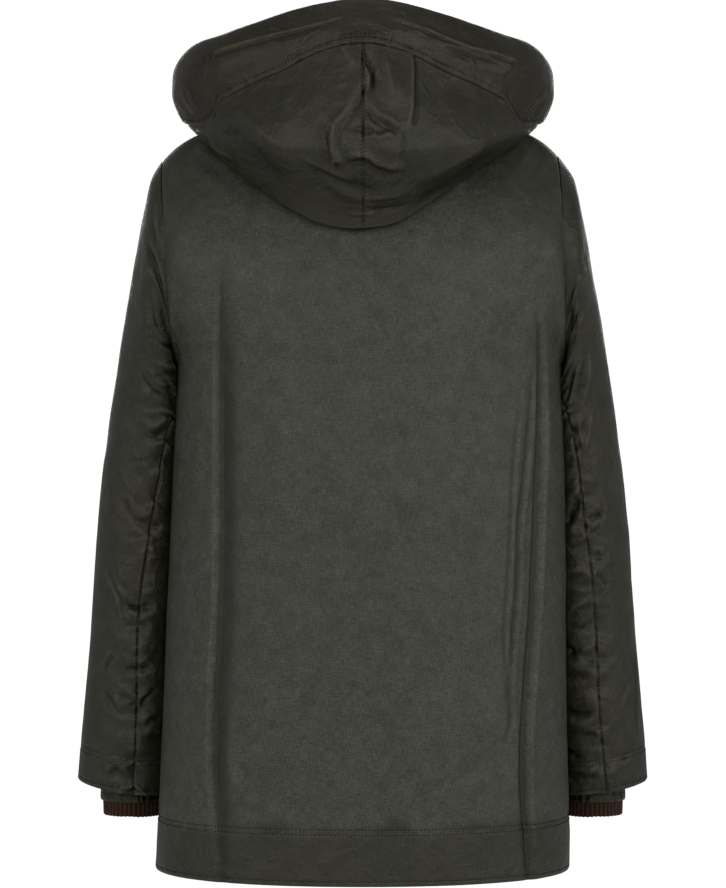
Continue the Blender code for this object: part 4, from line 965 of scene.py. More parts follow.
def waxed_cotton():
    material, tree, shader = new_material(
        "waxed_cotton", Coat_Weight=0.04, Coat_Roughness=0.30, Coat_Tint=(1.0, 0.98, 0.90, 1),
        Specular_IOR_Level=0.34, Specular_Tint=(1.0, 0.985, 0.87, 1))
    here, cloth = here_in(tree), add(tree, "ShaderNodeTexCoord").outputs["UV"]
    seam, wear_and_highlight, hollow_shade, wax_and_shade = (mark_in(tree, mark) for mark in ("seam", "wear_and_highlight", "hollow_shade", "wax_and_shade"))

    mottle = ramp(tree, noise(tree, here, 60.0, detail=6.0, rough=0.65, distortion=0.3), 0.36, 0.66)
    patches = ramp(tree, noise(tree, here, 9.0), 0.42, 0.75)
    colour = blend(tree, mottle, WAXED["dark"], WAXED["light"])
    colour = blend(tree, times(tree, patches, 0.35), colour, WAXED["brown"])
    grain = ramp(tree, noise(tree, cloth, 800.0, detail=2.0, rough=0.7), 0.3, 0.7, 0.50, 1.50)
    for stretch in ((1.0, 0.14, 1.0), (0.14, 1.0, 1.0)):
        yarns = add(tree, "ShaderNodeMapping", {"Vector": cloth, "Scale": stretch}).outputs[0]
        slub = ramp(tree, noise(tree, yarns, 900.0, detail=1.0), 0.3, 0.7, 0.74, 1.26)
        grain = times(tree, grain, slub)
    colour = scaled(tree, colour, grain)
    # Heavier wax and painted shade: darker and warmer on the hood, sleeves, hem and shoulders.
    colour = blend(tree, wax_and_shade, colour, WAX_AND_SHADE_DEEP, "MULTIPLY")
    # Painted shade: the colour darkened in the hollows of the folds.
    colour = blend(tree, hollow_shade, colour, HOLLOW_SHADE, "MULTIPLY")
    # Painted highlight on the crests and paler wear along the edges: the colour is brightened.
    colour = scaled(tree, colour, ramp(tree, wear_and_highlight, 0, 1, 1.0, 2.4))
    broken = ramp(tree, noise(tree, here, 130.0, detail=5.0, rough=0.7), 0.34, 0.66)
    wear = times(tree, times(tree, times(tree, wear_and_highlight, wear_and_highlight), broken), 0.50)
    colour = blend(tree, wear, colour, WAXED["worn"])
    # Painted shade: near-black lines beside the seams.
    colour = blend(tree, seam, colour, WAXED["seam"])

    rough = ramp(tree, noise(tree, here, 55.0, detail=5.0, rough=0.6), 0.3, 0.7, 0.46, 0.62)
    rough = times(tree, rough, ramp(tree, wax_and_shade, 0, 1, 1.0, 0.74))
    rough = maths(tree, "ADD", rough, times(tree, wear_and_highlight, 0.10))

    warp = ridges(tree, cloth, "X", 160.0, distortion=1.6, detail=1.0, detail_scale=3.0)
    weft = ridges(tree, cloth, "Y", 150.0, distortion=1.6, detail=1.0, detail_scale=3.0)
    weave = maths(tree, "ADD", warp, weft)
    fine = noise(tree, here, 210.0, detail=5.0, rough=0.7)
    small = noise(tree, here, 48.0, detail=5.0, distortion=0.6)
    lumps = noise(tree, here, 26.0, detail=2.5, rough=0.5, distortion=0.5)
    off_line = maths(tree, "ABSOLUTE", maths(tree, "SUBTRACT", lumps, 0.5))
    crackle = ramp(tree, off_line, 0.0, 0.07, 1.0, 0.0)
    normal = raised(tree, (weave, 0.5, 0.00016), (fine, 0.6, 0.0008), (small, 0.5, 0.0022),
                    (crackle, ramp(tree, wax_and_shade, 0, 1, 0.12, 0.55), 0.0010))
    finish_with(tree, shader, Base_Color=colour, Roughness=rough, Normal=normal)
    return material


def rib_knit():
    material, tree, shader = new_material(
        "rib_knit", Roughness=0.95, Sheen_Weight=0.05, Sheen_Roughness=0.6,
        Specular_IOR_Level=0.25)
    fuzz = ramp(tree, noise(tree, here_in(tree), 420.0), 0.3, 0.7)
    colour = blend(tree, fuzz, (0.0215, 0.0070, 0.0021, 1), (0.0540, 0.0166, 0.0048, 1))
    # Painted shade in the grooves between the ribs.
    colour = blend(tree, mark_in(tree, "groove_shade"), colour, (0.0035, 0.0016, 0.0010, 1))
    cloth = add(tree, "ShaderNodeTexCoord").outputs["UV"]
    loops = ridges(tree, cloth, "DIAGONAL", 100.0, distortion=0.6, detail=1.0)
    normal = raised(tree, (loops, 0.5, 0.0004), (fuzz, 0.4, 0.0003))
    finish_with(tree, shader, Base_Color=colour, Normal=normal)
    return material


def thread_finish():
    material, tree, shader = new_material("thread", Roughness=0.9, Specular_IOR_Level=0.15)
    tone = noise(tree, here_in(tree), 300.0, detail=2.0)
    colour = blend(tree, tone, (0.0012, 0.0012, 0.0010, 1), (0.0030, 0.0029, 0.0024, 1))
    finish_with(tree, shader, Base_Color=colour)
    return material


def woven_tape():
    material, tree, shader = new_material("zip_tape", Roughness=0.85, Sheen_Weight=0.1)
    here = here_in(tree)
    tone = noise(tree, here, 500.0)
    colour = blend(tree, tone, (0.0110, 0.0100, 0.0080, 1), (0.0240, 0.0220, 0.0170, 1))
    normal = raised(tree, (ridges(tree, here, "Z", 260.0), 0.4, 0.0002))
    finish_with(tree, shader, Base_Color=colour, Normal=normal)
    return material


def antique_brass():
    material, tree, shader = new_material("zip_metal", Metallic=1.0)
    here = here_in(tree)
    tarnish = ramp(tree, noise(tree, here, 160.0, detail=5.0, rough=0.6), 0.35, 0.7)
    colour = blend(tree, tarnish, (0.36, 0.27, 0.14, 1), (0.16, 0.12, 0.075, 1))
    rough = ramp(tree, tarnish, 0, 1, 0.28, 0.50)
    normal = raised(tree, (noise(tree, here, 900.0, detail=4.0, rough=0.7), 0.15, 0.0002))
    finish_with(tree, shader, Base_Color=colour, Roughness=rough, Normal=normal)
    return material


WAXED_COTTON, RIB_KNIT, THREAD_FINISH = waxed_cotton(), rib_knit(), thread_finish()
ZIP_TAPE, ZIP_METAL = woven_tape(), antique_brass()


def settle(piece, body, slot, *nodes):
    """Makes a finished piece ride on its body and stand for its nodes."""
    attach(piece, body)
    if nodes:
        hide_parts(*nodes)


def waxed_panel(node, grid, normals, relief, skip=4):
    """A shell of waxed cotton that stands for its node. Gives the points of its outside."""
    out, marks = relief
    piece, outer = cloth_shell(f"{node}_cloth", grid, normals, out, WAXED_COTTON, marks, skip)
    settle(piece, "jacket", "waxed_cotton", node)
    return outer


# ---------------------------------------------------------------- the body's panels
SIDE_LENGTH = 0.275  # metres of cloth from the centre to the side
UPPER_TURN = 0.118  # metres of cloth for each radian that gives a level above the armpit
BACK_FOLDED = {LEFT: (0.47, 0.62, 0.0014), RIGHT: (0.50, 0.72, 0.0018)}  # spans of finer grid
EDGE_STITCH, HEM_TOP = 0.0050, 0.0500  # above the hem's edge
HEM_LINES = (EDGE_STITCH, 0.0550, HEM_TOP)  # rows of stitching
ZIP_STITCH = 0.0060  # beside the zip


def body_places(side, face):
    """Shares of the way round, and levels, at which a quarter of the body has its points."""
    if face == BACK:
        across = graded(0.0, 1.0, SIDE_LENGTH, [1.0], [BACK_FOLDED[side]])
    else:
        across = graded(0.0, 1.0, SIDE_LENGTH, [0.0, 1.0], step=FRONT_GRID)
    step = BACK_GRID if face == BACK else FRONT_GRID
    low = ARMPIT_Z - HEM_Z
    hem_lines = [-1.0] + [-1 + line / low for line in HEM_LINES]
    lower = graded(-1.0, 0.0, low, hem_lines, step=step, reach=0.0025)
    turns = graded(0.0, math.pi, UPPER_TURN, [], step=step)
    upper = (1 + np.cos(np.linspace(math.pi, 0, len(turns)))) / 2
    return across, np.concatenate([lower[:-1], upper])


def body_grid(side, face):
    across, levels = body_places(side, face)
    skin = partial(smooth_body, side, face)
    grid = np.array([skin(across, level) for level in levels])
    normals = np.array([skin_normals(skin, (across, 0, 1), (level, -1, 1), -side * face)
                        for level in levels])
    return grid, normals


def body_relief(face, grid, seams, rows):
    """How far the cloth of a body panel stands out from its form, and its marks."""
    lengths = edge_lengths(grid)
    above_hem = lengths["first"]
    guard = 1 - bump(lengths["last"], 0.012)
    for edge in seams:
        guard = guard * (1 - bump(lengths[edge], 0.010))
    folds = crease_heights(grid[..., 0], grid[..., 2], creases(rows)) * guard
    out = folds + crumple(grid) * guard
    for seed, edge in enumerate(seams):
        out += turned_in(lengths[edge])
        out += puckers(lengths[edge], grid[..., 2], height=0.00035, seed=20 + seed)
    out += turned_in(lengths["last"]) - TURNED_IN * len(seams)
    out += turned_in(above_hem, rise=0.0009, radius=0.0012)
    hem = 1 - ease((above_hem - HEM_TOP) / HEM_STEP)
    out += HEM_RISE * hem
    soft = ribbon_noise(grid[..., 0] + 0.3 * grid[..., 2], size=0.017, seed=31)
    out += hem * 0.0009 * soft * bump(above_hem - 0.026, 0.020)
    out += puckers(above_hem - HEM_TOP, grid[..., 0], height=0.0006, seed=34, reach=0.009,
                   size=0.0060)
    tiny = ribbon_noise(grid[..., 0], size=0.0052, seed=32)
    tiny = tiny * (0.4 + 0.6 * bump(grid[..., 0] + 0.09, 0.05))
    out += 0.0005 * tiny * bump(above_hem - 0.003, 0.006)
    for line in HEM_LINES:
        out -= stitch_groove(above_hem - line)
    edges = [lengths[edge] for edge in seams]
    uneven = 0.012 * soft_noise(grid, size=0.030, seed=17)
    # Heavier wax and painted shade: darker at the hem, and on the shoulders beside the hood.
    wax_and_shade = HEM_WAX_SHADE * (1 - ease((above_hem + uneven - 0.046) / 0.018)) + FRONT_WAX_SHADE * (face == FRONT)
    outwards = ease((np.abs(grid[..., 0]) - 0.08) / 0.09)
    wax_and_shade = wax_and_shade + SHOULDER_WAX_SHADE * outwards * ease((grid[..., 2] + 0.20) / 0.15)
    bend = bends(folds, lengths)
    # Marks: painted shade beside seams and in hollows, a painted highlight on crests with wear
    # along edges, and wax with painted shade.
    marks = [("seam", seam_shade(edges + [lengths["last"]])),
             ("wear_and_highlight", wear_and_crest_highlight(bend, edges) + 0.3 * hem_wear(above_hem)),
             ("hollow_shade", painted_hollow_shade(folds, bend)), ("wax_and_shade", np.clip(wax_and_shade, 0, 1))]
    return out, marks


def build_back():
    left, left_normals = body_grid(LEFT, BACK)
    right, right_normals = body_grid(RIGHT, BACK)
    grid = np.concatenate([right[:, :0:-1], left], axis=1)
    normals = np.concatenate([right_normals[:, :0:-1], left_normals], axis=1)
    relief = body_relief(BACK, grid, ("left", "right"), BACK_CREASES)
    stitch_beside(waxed_panel("back", grid, normals, relief), "first", *HEM_LINES)


def build_front(side):
    grid, normals = body_grid(side, FRONT)
    relief = body_relief(FRONT, grid, ("right", "left"), FRONT_CREASES)
    outer = waxed_panel(f"front_{SIDE_WORD[side]}", grid, normals, relief)
    stitch_beside(outer, "first", *HEM_LINES)
    stitch_beside(outer, "left", ZIP_STITCH)


# ---------------------------------------------------------------- the sleeves
SLEEVE_HEM_TOP = 0.0320
SLEEVE_HEM_LINES = (EDGE_STITCH, 0.0370, SLEEVE_HEM_TOP)
SEAM_STITCH = 0.0022  # beside the seams of sleeves and hood
LEAST_ROOM = 0.0014  # between a sleeve's cloth and the body


def sleeve_grid(side, shares, downs, turn_of):
    skin = partial(sleeve_skin, side)
    grid, normals, turns = [], [], []
    for down in downs:
        turn = turn_of(side, shares, down)
        grid.append(skin(turn, down))
        normals.append(skin_normals(skin, (turn, -360, 720), (down, 0, 1), -side))
        turns.append(turn)
    return np.array(grid), np.array(normals), np.array(turns)


def top_turn(side, share, down):
    return mix(-1, 1, share) * seam_turn(side, down)


def under_turn(side, share, down):
    return mix(seam_turn(side, down), 360 - seam_turn(side, down), share)


def seam_turn_of(side, downs):
    return np.array([seam_turn(side, down) for down in downs])


def drawn_seam(from_seam, v, seed):
    """Short sharp folds that a sleeve's seam draws up, across it and slanting away from it."""
    out = 0
    for lean, size, height, reach in ((0.35, 0.021, 0.0017, 0.022), (-0.5, 0.012, 0.0012, 0.013)):
        along = v + lean * np.abs(from_seam)
        wave = 1 - 2.6 * np.abs(ribbon_noise(along, size, seed + int(1000 * size)))
        out = out + height * wave * bump(from_seam, reach)
    return out


def sleeve_relief(side, grid, turns, downs):
    lengths = edge_lengths(grid)
    v = np.broadcast_to(np.array(downs)[:, None] * SLEEVE_LENGTH, turns.shape)
    rows = list(SLEEVE_CREASES[side]) + turned_to_front(SLEEVE_CREASES[-side])
    rows = creases(rows, SLEEVE_DEGREE, SLEEVE_LENGTH / 1000, deeper=1.5)
    folds = sum(crease_heights((turns + lap) * SLEEVE_DEGREE, v, rows) for lap in (-360, 0))
    inward = ease((np.abs((turns + 180) % 360 - 180) - 40) / 50)
    stretched = grid * np.array([0.45, 0.45, 1.0])
    fine = crinkle(stretched, size=0.015, seed=14) * 0.0012
    folds = folds + fine * inward * ease(v / 0.10)
    for seam in (seam_turn_of(side, downs), -seam_turn_of(side, downs)):
        from_seam = ((turns - seam[:, None] + 180) % 360 - 180) * SLEEVE_DEGREE
        folds = folds + drawn_seam(from_seam, v, 41 + side)
    out = folds + crumple(grid)
    if side == LEFT:
        out = out + 0.005 * inward * bump(v - 0.15, 0.06)  # it meets the body at the armpit
    out = out * (1 - bump(lengths["first"], 0.010))
    for seed, edge in enumerate(("left", "right")):
        out += turned_in(lengths[edge], rise=0.0009)
        out += puckers(lengths[edge], v, height=0.0006, seed=40 + seed, reach=0.008, size=0.0048)
    out += turned_in(lengths["first"], rise=0.0004, radius=0.0030) - TURNED_IN
    above_hem = lengths["last"]
    out += turned_in(above_hem, rise=0.0009, radius=0.0012)
    out += HEM_RISE * (1 - ease((above_hem - SLEEVE_HEM_TOP) / HEM_STEP))
    tiny = ribbon_noise(turns * SLEEVE_DEGREE, size=0.0040, seed=33) * (0.35 + 0.65 * inward)
    out += 0.0009 * tiny * bump(above_hem - 0.003, 0.007)
    for line in SLEEVE_HEM_LINES:
        out -= stitch_groove(above_hem - line)
    edges = [lengths["left"], lengths["right"]]
    bend = bends(folds, lengths)
    # Marks: painted shade beside seams and in hollows, a painted highlight on crests with wear
    # along edges, and wax with painted shade.
    wear_and_highlight = wear_and_crest_highlight(bend, edges, crest_highlight=0.40, worn=0.3) + 0.25 * hem_wear(above_hem)
    marks = [("seam", seam_shade(edges + [lengths["first"]])), ("wear_and_highlight", np.clip(wear_and_highlight, 0, 1)),
             ("hollow_shade", painted_hollow_shade(folds, bend, depth=0.0045)),
             ("wax_and_shade", np.full(out.shape, SLEEVE_WAX_SHADE))]
    return out, marks


def kept_off_body(side, grid, out, normals):
    """The relief, held back where it would push the sleeve into the body."""
    place = grid + normals * out[..., None]
    room = place[..., 0] * side - body_side_x(side, place[..., 1], place[..., 2]) - LEAST_ROOM
    below = ease((ARMPIT_Z + 0.02 - grid[..., 2]) / 0.02)
    return out + np.minimum(room, 0) * below


def build_sleeve(side):
    lines = [0.0, 1.0] + [1 - line / SLEEVE_LENGTH for line in SLEEVE_HEM_LINES]
    downs = graded(0.0, 1.0, SLEEVE_LENGTH, lines, step=SLEEVE_GRID, reach=0.0025)
    for name, turn_of, width, behind in (("top", top_turn, 0.40, (0.55, 1.0)),
                                         ("under", under_turn, 0.15, (0.0, 0.5))):
        shares = graded(0.0, 1.0, width, [0.0, 1.0], [(*behind, 0.0021)], FRONT_GRID)
        grid, normals, turns = sleeve_grid(side, shares, downs, turn_of)
        out, marks = sleeve_relief(side, grid, turns, downs)
        relief = kept_off_body(side, grid, out, normals), marks
        outer = waxed_panel(f"sleeve_{SIDE_WORD[side]}_{name}", grid, normals, relief)
        stitch_beside(outer, "last", *SLEEVE_HEM_LINES)
        if name == "top":
            for edge in ("left", "right"):
                stitch_beside(outer, edge, SEAM_STITCH, start=0.004, end=0.003)


# ---------------------------------------------------------------- the hood
HOOD_END = 177.63  # the angle at which it ends beside the zip
BRIM_STITCH = {"first": 0.0065, "last": 0.0060}


def hood_grid(angles, along):
    """Points and normals of the hood, for rows of how far along it they lie."""
    grid = np.array([hood_skin(angles, row) for row in along])
    normals = np.array([skin_normals(hood_skin, (angles, -180, 180), (row, 0, 1), -1)
                        for row in along])
    return grid, normals


def hood_relief(grid, angles, along, seams, wax_and_shade):
    lengths = edge_lengths(grid)
    u, v = np.broadcast_arrays(angles * HOOD_DEGREE, along * HOOD_LENGTH)
    rows = creases(HOOD_CREASES, HOOD_DEGREE, HOOD_LENGTH / 1000, deeper=1.7)
    middle = bump(angles[None, :], 26) * bump(along - 0.53, 0.13)
    folds = crease_heights(u, v, rows) + crinkle(grid, size=0.022, seed=16) * 0.0009 * middle
    out = (folds + crumple(grid)) * ease(along / 0.12)
    for seed, edge in enumerate(seams):
        run = u if edge in ("first", "last") else v
        out += turned_in(lengths[edge], rise=0.0010)
        out += puckers(lengths[edge], run, height=0.0008, seed=50 + seed, reach=0.012)
    out -= 0.0010
    edges = [lengths[edge] for edge in seams]
    bend = bends(folds, lengths)
    # Marks: painted shade beside seams and in hollows, a painted highlight on crests with wear
    # along edges, and wax with painted shade.
    wear_and_highlight = wear_and_crest_highlight(bend, edges, crest_highlight=0.50, worn=0.45)
    for path in WORN_TURNS:
        line = Crease(height=0.9, near=0.0010, far=0.0010, valley=0, at=0,
                      path=[(a * HOOD_DEGREE, s * HOOD_LENGTH / 1000) for a, s in path])
        wear_and_highlight = np.clip(wear_and_highlight + crease_heights(u, v, [line]), 0, 1)
    marks = [("seam", seam_shade(edges)), ("wear_and_highlight", wear_and_highlight),
             ("hollow_shade", painted_hollow_shade(folds, bend, depth=0.0019)), ("wax_and_shade", np.full(out.shape, wax_and_shade))]
    return out, marks


def build_hood():
    panel, brim = HOOD_LENGTH * BRIM_SEAM, HOOD_LENGTH * (1 - BRIM_SEAM)
    rows = graded(0.0, 1.0, panel, [1.0], [(0.62, 0.96, 0.0014)], HOOD_GRID)[:, None]
    brim_rows = graded(0.0, 1.0, brim, [0.0, 1.0], [(0.04, 0.52, 0.0020)], HOOD_GRID)[:, None]
    angles = graded(0.0, HOOD_END, HOOD_DEGREE, [0.0], [(0.0, 21.0, 0.0013), (55, 68, 0.0020)],
                    HOOD_GRID)
    for side in (LEFT, RIGHT):
        along = rows * brim_seam(angles)
        grid, normals = hood_grid(side * angles, along)
        relief = hood_relief(grid, side * angles, along, ("left", "last"), HOOD_WAX_SHADE)
        outer = waxed_panel(f"hood_{SIDE_WORD[side]}", grid, normals, relief, skip=2)
        stitch_beside(outer, "left", SEAM_STITCH, start=0.03)
    around = np.concatenate([-angles[:0:-1], angles])
    along = mix(brim_seam(around), 1.0, brim_rows)
    grid, normals = hood_grid(around, along)
    relief = hood_relief(grid, around, along, ("first", "last"), BRIM_WAX_SHADE)
    outer = waxed_panel("hood_brim", grid, normals, relief, skip=2)
    for edge, line in BRIM_STITCH.items():
        stitch_beside(outer, edge, line)
    low, high, half = 0.010, 0.080, 4.2  # three sides of a box of stitching at the brim's middle
    corners = ((low, -half), (high, -half), (high, half), (low, half))
    for start, end in zip(corners, corners[1:]):
        threads.append(on_grid(outer, brim_rows[:, 0], around, start, end))


# ---------------------------------------------------------------- the knit cuffs
CUFF_MIDDLE, CUFF_HALF = (0.2375, -0.0560), (0.0305, 0.0330)
CUFF_TOP, CUFF_SET_IN, CUFF_LOW, KNIT = 0.86, 0.0030, -0.7228, 0.0022
CUFF_RADIAN = 0.032  # metres of cloth for each radian round a cuff


def cuff_ring(side, angle, size, z):
    """A ring of the cuff's form at a height."""
    return points(side * (CUFF_MIDDLE[0] + CUFF_HALF[0] * size * np.cos(angle)),
                  CUFF_MIDDLE[1] + CUFF_HALF[1] * size * np.sin(angle), z)


def cuff_outward(side, angle):
    return unit(points(side * np.cos(angle) / CUFF_HALF[0], np.sin(angle) / CUFF_HALF[1], 0))


def build_cuff(side):
    """A tube of rib knit, folded double at its lower edge."""
    around = RIBS * 8
    turn = np.arange(around) / around * 360.0
    angle = np.radians(turn)
    rib = 0.5 + 0.5 * np.cos(angle * RIBS)
    outward = cuff_outward(side, angle)
    skin = partial(sleeve_skin, side)
    lining = skin(turn, CUFF_TOP)
    lining = lining - skin_normals(skin, (turn, -360, 720), (CUFF_TOP, 0, 1), -side) * CUFF_SET_IN
    sizes = ((-0.676, 1.03), (-0.700, 1.00), (CUFF_LOW, 0.975))
    rings = [lining] + [cuff_ring(side, angle, size, z) for z, size in sizes]
    heights = [lining[:, 2].mean()] + [z for z, _ in sizes]
    down = np.linspace(0, 1, 34)
    core = through(np.array(heights)[::-1], np.array(rings)[::-1],
                   mix(heights[0], heights[-1], down))
    uneven = 0.0006 * ribbon_noise(angle * 0.03, 0.011, 61) + 0.0005 * (rib - 0.5)
    core[..., 2] -= uneven[None] * ease((down[:, None] - 0.6) / 0.4)
    out = KNIT / 2 + RIB_HEIGHT * rib
    outside = core + outward * out[:, None]
    fold = np.array([core[-1] + outward * (out * math.cos(turned))[:, None]
                     - np.array([0, 0, 1]) * (0.0012 * math.sin(turned))
                     for turned in np.linspace(0, math.pi, 7)[1:-1]])
    inside = core[::-3] - outward * (KNIT / 2 + 0.0004 * rib)[:, None]
    places = np.concatenate([outside, fold, inside])
    # Painted shade for the grooves between the ribs.
    groove_shade = np.broadcast_to((1 - rib) ** 2, places.shape[:2])
    uv = np.stack(np.broadcast_arrays(angle * CUFF_RADIAN, places[..., 2]), axis=2)
    name = SIDE_WORD[side]
    piece = new_piece(f"cuff_{name}_knit", places, tube_faces(places, side), RIB_KNIT, uv,
                      [("groove_shade", groove_shade)])
    settle(piece, "jacket", "rib_knit", f"cuff_{name}")


def tube_faces(places, side):
    """Faces of a closed loop of rings, whose points run round from the sleeve's outer edge."""
    rows, around = places.shape[:2]
    index = np.arange(rows * around).reshape(rows, around)
    after, below = np.roll(index, -1, axis=1), np.roll(index, -1, axis=0)
    faces = np.stack([index, after, np.roll(below, -1, axis=1), below], axis=2).reshape(-1, 4)
    return (faces if side == RIGHT else faces[:, ::-1]).tolist()


BAND_TOP, BAND_LOW, BAND_OUT, BAND_STITCH = -0.684, -0.7090, 0.0034, 0.0085


def build_band(side):
    """The gathered band of cotton that joins the knit to the sleeve."""
    around = 240
    angle = np.radians(np.arange(around + 1) / around * 360.0)
    length = BAND_TOP - BAND_LOW
    heights = BAND_TOP - graded(0.0, length, 1.0, [length], step=0.0016)
    outward = cuff_outward(side, angle)
    core = np.array([cuff_ring(side, angle, 1, z) for z in heights])
    run = angle * CUFF_RADIAN
    place = run + 0.1 * side
    gathers = 0.0011 * ribbon_noise(place, 0.0042, 71) + 0.0005 * ribbon_noise(place, 0.0024, 72)
    gathers = gathers * (1 - bump(angle, 0.15)) * (1 - bump(angle - 2 * math.pi, 0.15))
    above = (heights - BAND_LOW)[:, None]
    out = BAND_OUT + gathers * (0.35 + 0.65 * bump(above - 0.016, 0.010))
    out = out + turned_in(above, rise=0.0008, radius=0.0010)
    out = out - 0.0005 * bump(above - BAND_STITCH, 0.0010)
    outer = core + outward * out[..., None]
    inner = core + outward * (out - COTTON)[..., None]
    places = np.concatenate([outer, inner[::-1]])[:, :-1]
    uv = np.stack(np.broadcast_arrays(run[:-1], places[..., 2]), axis=2)
    worn_edge = np.concatenate([0.4 * bump(above - 0.001, 0.0014), 0 * above])
    # Painted shade: the band darkened all over, and more in the valleys of its gathers.
    hollow_shade = 0.4 + 0.6 * ease(-gathers[:-1] / 0.0009)
    marks = [(mark, np.broadcast_to(values, (len(places), around))) for mark, values in (
        ("seam", 0.0), ("wear_and_highlight", worn_edge), ("hollow_shade", hollow_shade), ("wax_and_shade", BRIM_WAX_SHADE))]
    piece = new_piece(f"cuff_{SIDE_WORD[side]}_band", places, tube_faces(places, side),
                      WAXED_COTTON, uv, marks)
    stitch_beside(outer, "last", BAND_STITCH)
    settle(piece, "jacket", "waxed_cotton")


# ---------------------------------------------------------------- stitching
def node_tree(name, sockets):
    tree = bpy.data.node_groups.new(name, "GeometryNodeTree")
    tree.interface.new_socket("Geometry", in_out="INPUT", socket_type="NodeSocketGeometry")
    for label, kind, value in sockets:
        tree.interface.new_socket(label, in_out="INPUT", socket_type=kind).default_value = value
    tree.interface.new_socket("Geometry", in_out="OUTPUT", socket_type="NodeSocketGeometry")
    return tree, tree.nodes.new("NodeGroupInput").outputs, tree.nodes.new("NodeGroupOutput")


def lay_along(tree, given, result, shape, spacing, finish, scale=(1, 1, 1), pivot="AUTO"):
    """Ends a tree with copies of a shape, evenly spaced along its paths and turned with them."""
    path = add(tree, "GeometryNodeResampleCurve", {
        "Curve": given["Geometry"], "Length": given[spacing]}, mode="LENGTH").outputs["Curve"]
    tangent = add(tree, "GeometryNodeInputTangent").outputs[0]
    turned = add(tree, "FunctionNodeAlignRotationToVector", {"Vector": tangent}, axis="Z",
                 pivot_axis=pivot).outputs[0]
    placed = add(tree, "GeometryNodeInstanceOnPoints", {
        "Points": path, "Instance": shape, "Rotation": turned, "Scale": scale}).outputs[0]
    real = add(tree, "GeometryNodeRealizeInstances", {"Geometry": placed}).outputs[0]
    done = add(tree, "GeometryNodeSetMaterial", {"Geometry": real, "Material": given[finish]})
    tree.links.new(done.outputs[0], result.inputs[0])


def running_stitch():
    """Stitches of thread laid end to end along each path."""
    tree, given, result = node_tree("running_stitch", (
        ("Stitch spacing", "NodeSocketFloat", STITCH_PITCH),
        ("Stitch length", "NodeSocketFloat", STITCH_LENGTH),
        ("Thread radius", "NodeSocketFloat", THREAD),
        ("Seed", "NodeSocketInt", 5),
        ("Thread", "NodeSocketMaterial", None)))
    half = times(tree, given["Stitch length"], 0.5)
    size = add(tree, "ShaderNodeCombineXYZ", {
        0: given["Thread radius"], 1: given["Thread radius"], 2: half}).outputs[0]
    lowest, highest = 2, 3  # places of the number sockets of a random value
    uneven = add(tree, "FunctionNodeRandomValue", {"Seed": given["Seed"], lowest: 0.85,
                                                   highest: 1.1}, data_type="FLOAT")
    bead = add(tree, "GeometryNodeMeshUVSphere", {"Segments": 4, "Rings": 3, "Radius": 1.0})
    lay_along(tree, given, result, bead.outputs["Mesh"], "Stitch spacing", "Thread",
              scaled(tree, size, uneven.outputs[1]))
    return tree


def paths_object(name, lines):
    curve = bpy.data.curves.new(name, "CURVE")
    curve.dimensions = "3D"
    for line in lines:
        spline = curve.splines.new("POLY")
        spline.points.add(len(line) - 1)
        flat = np.concatenate([line, np.ones((len(line), 1))], axis=1).astype(np.float32)
        spline.points.foreach_set("co", flat.ravel())
    return put_in_scene(name, curve)


def grown(tree, name, source, values):
    """The plain mesh that a tree makes from a source object, whose inputs are given by name."""
    modifier = source.modifiers.new(tree.name, "NODES")
    modifier.node_group = tree
    for item in tree.interface.items_tree:
        if item.in_out == "INPUT" and item.name in values:
            modifier[item.identifier] = values[item.name]
    graph = bpy.context.evaluated_depsgraph_get()
    mesh = bpy.data.meshes.new_from_object(source.evaluated_get(graph))
    mesh.name = name
    bpy.data.objects.remove(source, do_unlink=True)
    mesh.shade_smooth()
    return put_in_scene(name, mesh)


def build_topstitching():
    source = paths_object("thread_paths", threads)
    piece = grown(running_stitch(), "topstitching", source, {"Thread": THREAD_FINISH})
    settle(piece, "jacket", "waxed_cotton")


# ---------------------------------------------------------------- the zip
ZIP_LEVELS = np.concatenate([np.linspace(-0.982, 0, 150)[:-1], np.linspace(0, 1, 110)])
TOOTH_PITCH, TOOTH_OFF = 0.0030, 0.0009  # and how far a tooth stands off the middle
TAPE_HALF, TAPE_SUNK = 0.0029, 0.0010  # half its width, and how far behind the form it lies


def front_middle(level):
    skin = partial(smooth_body, LEFT, FRONT)
    at = np.array([0.0])
    point = skin(at, level)[0]
    out = skin_normals(skin, (at, 0, 1), (level, -1, 1), 1)[0]
    return np.array([0, point[1], point[2]]), unit(np.array([0, out[1], out[2]]))


def zip_teeth():
    """Teeth of metal in a row along each path, each standing off to its side."""
    tree, given, result = node_tree("zip_teeth", (
        ("Tooth spacing", "NodeSocketFloat", TOOTH_PITCH),
        ("Tooth size", "NodeSocketVector", (0.0030, 0.0016, 0.0017)),
        ("Metal", "NodeSocketMaterial", None)))
    block = add(tree, "GeometryNodeMeshCube", {"Size": given["Tooth size"]}).outputs["Mesh"]
    tooth = add(tree, "GeometryNodeSubdivisionSurface", {"Mesh": block, "Level": 1,
                                                         "Edge Crease": 0.55})
    lay_along(tree, given, result, tooth.outputs[0], "Tooth spacing", "Metal", pivot="X")
    return tree


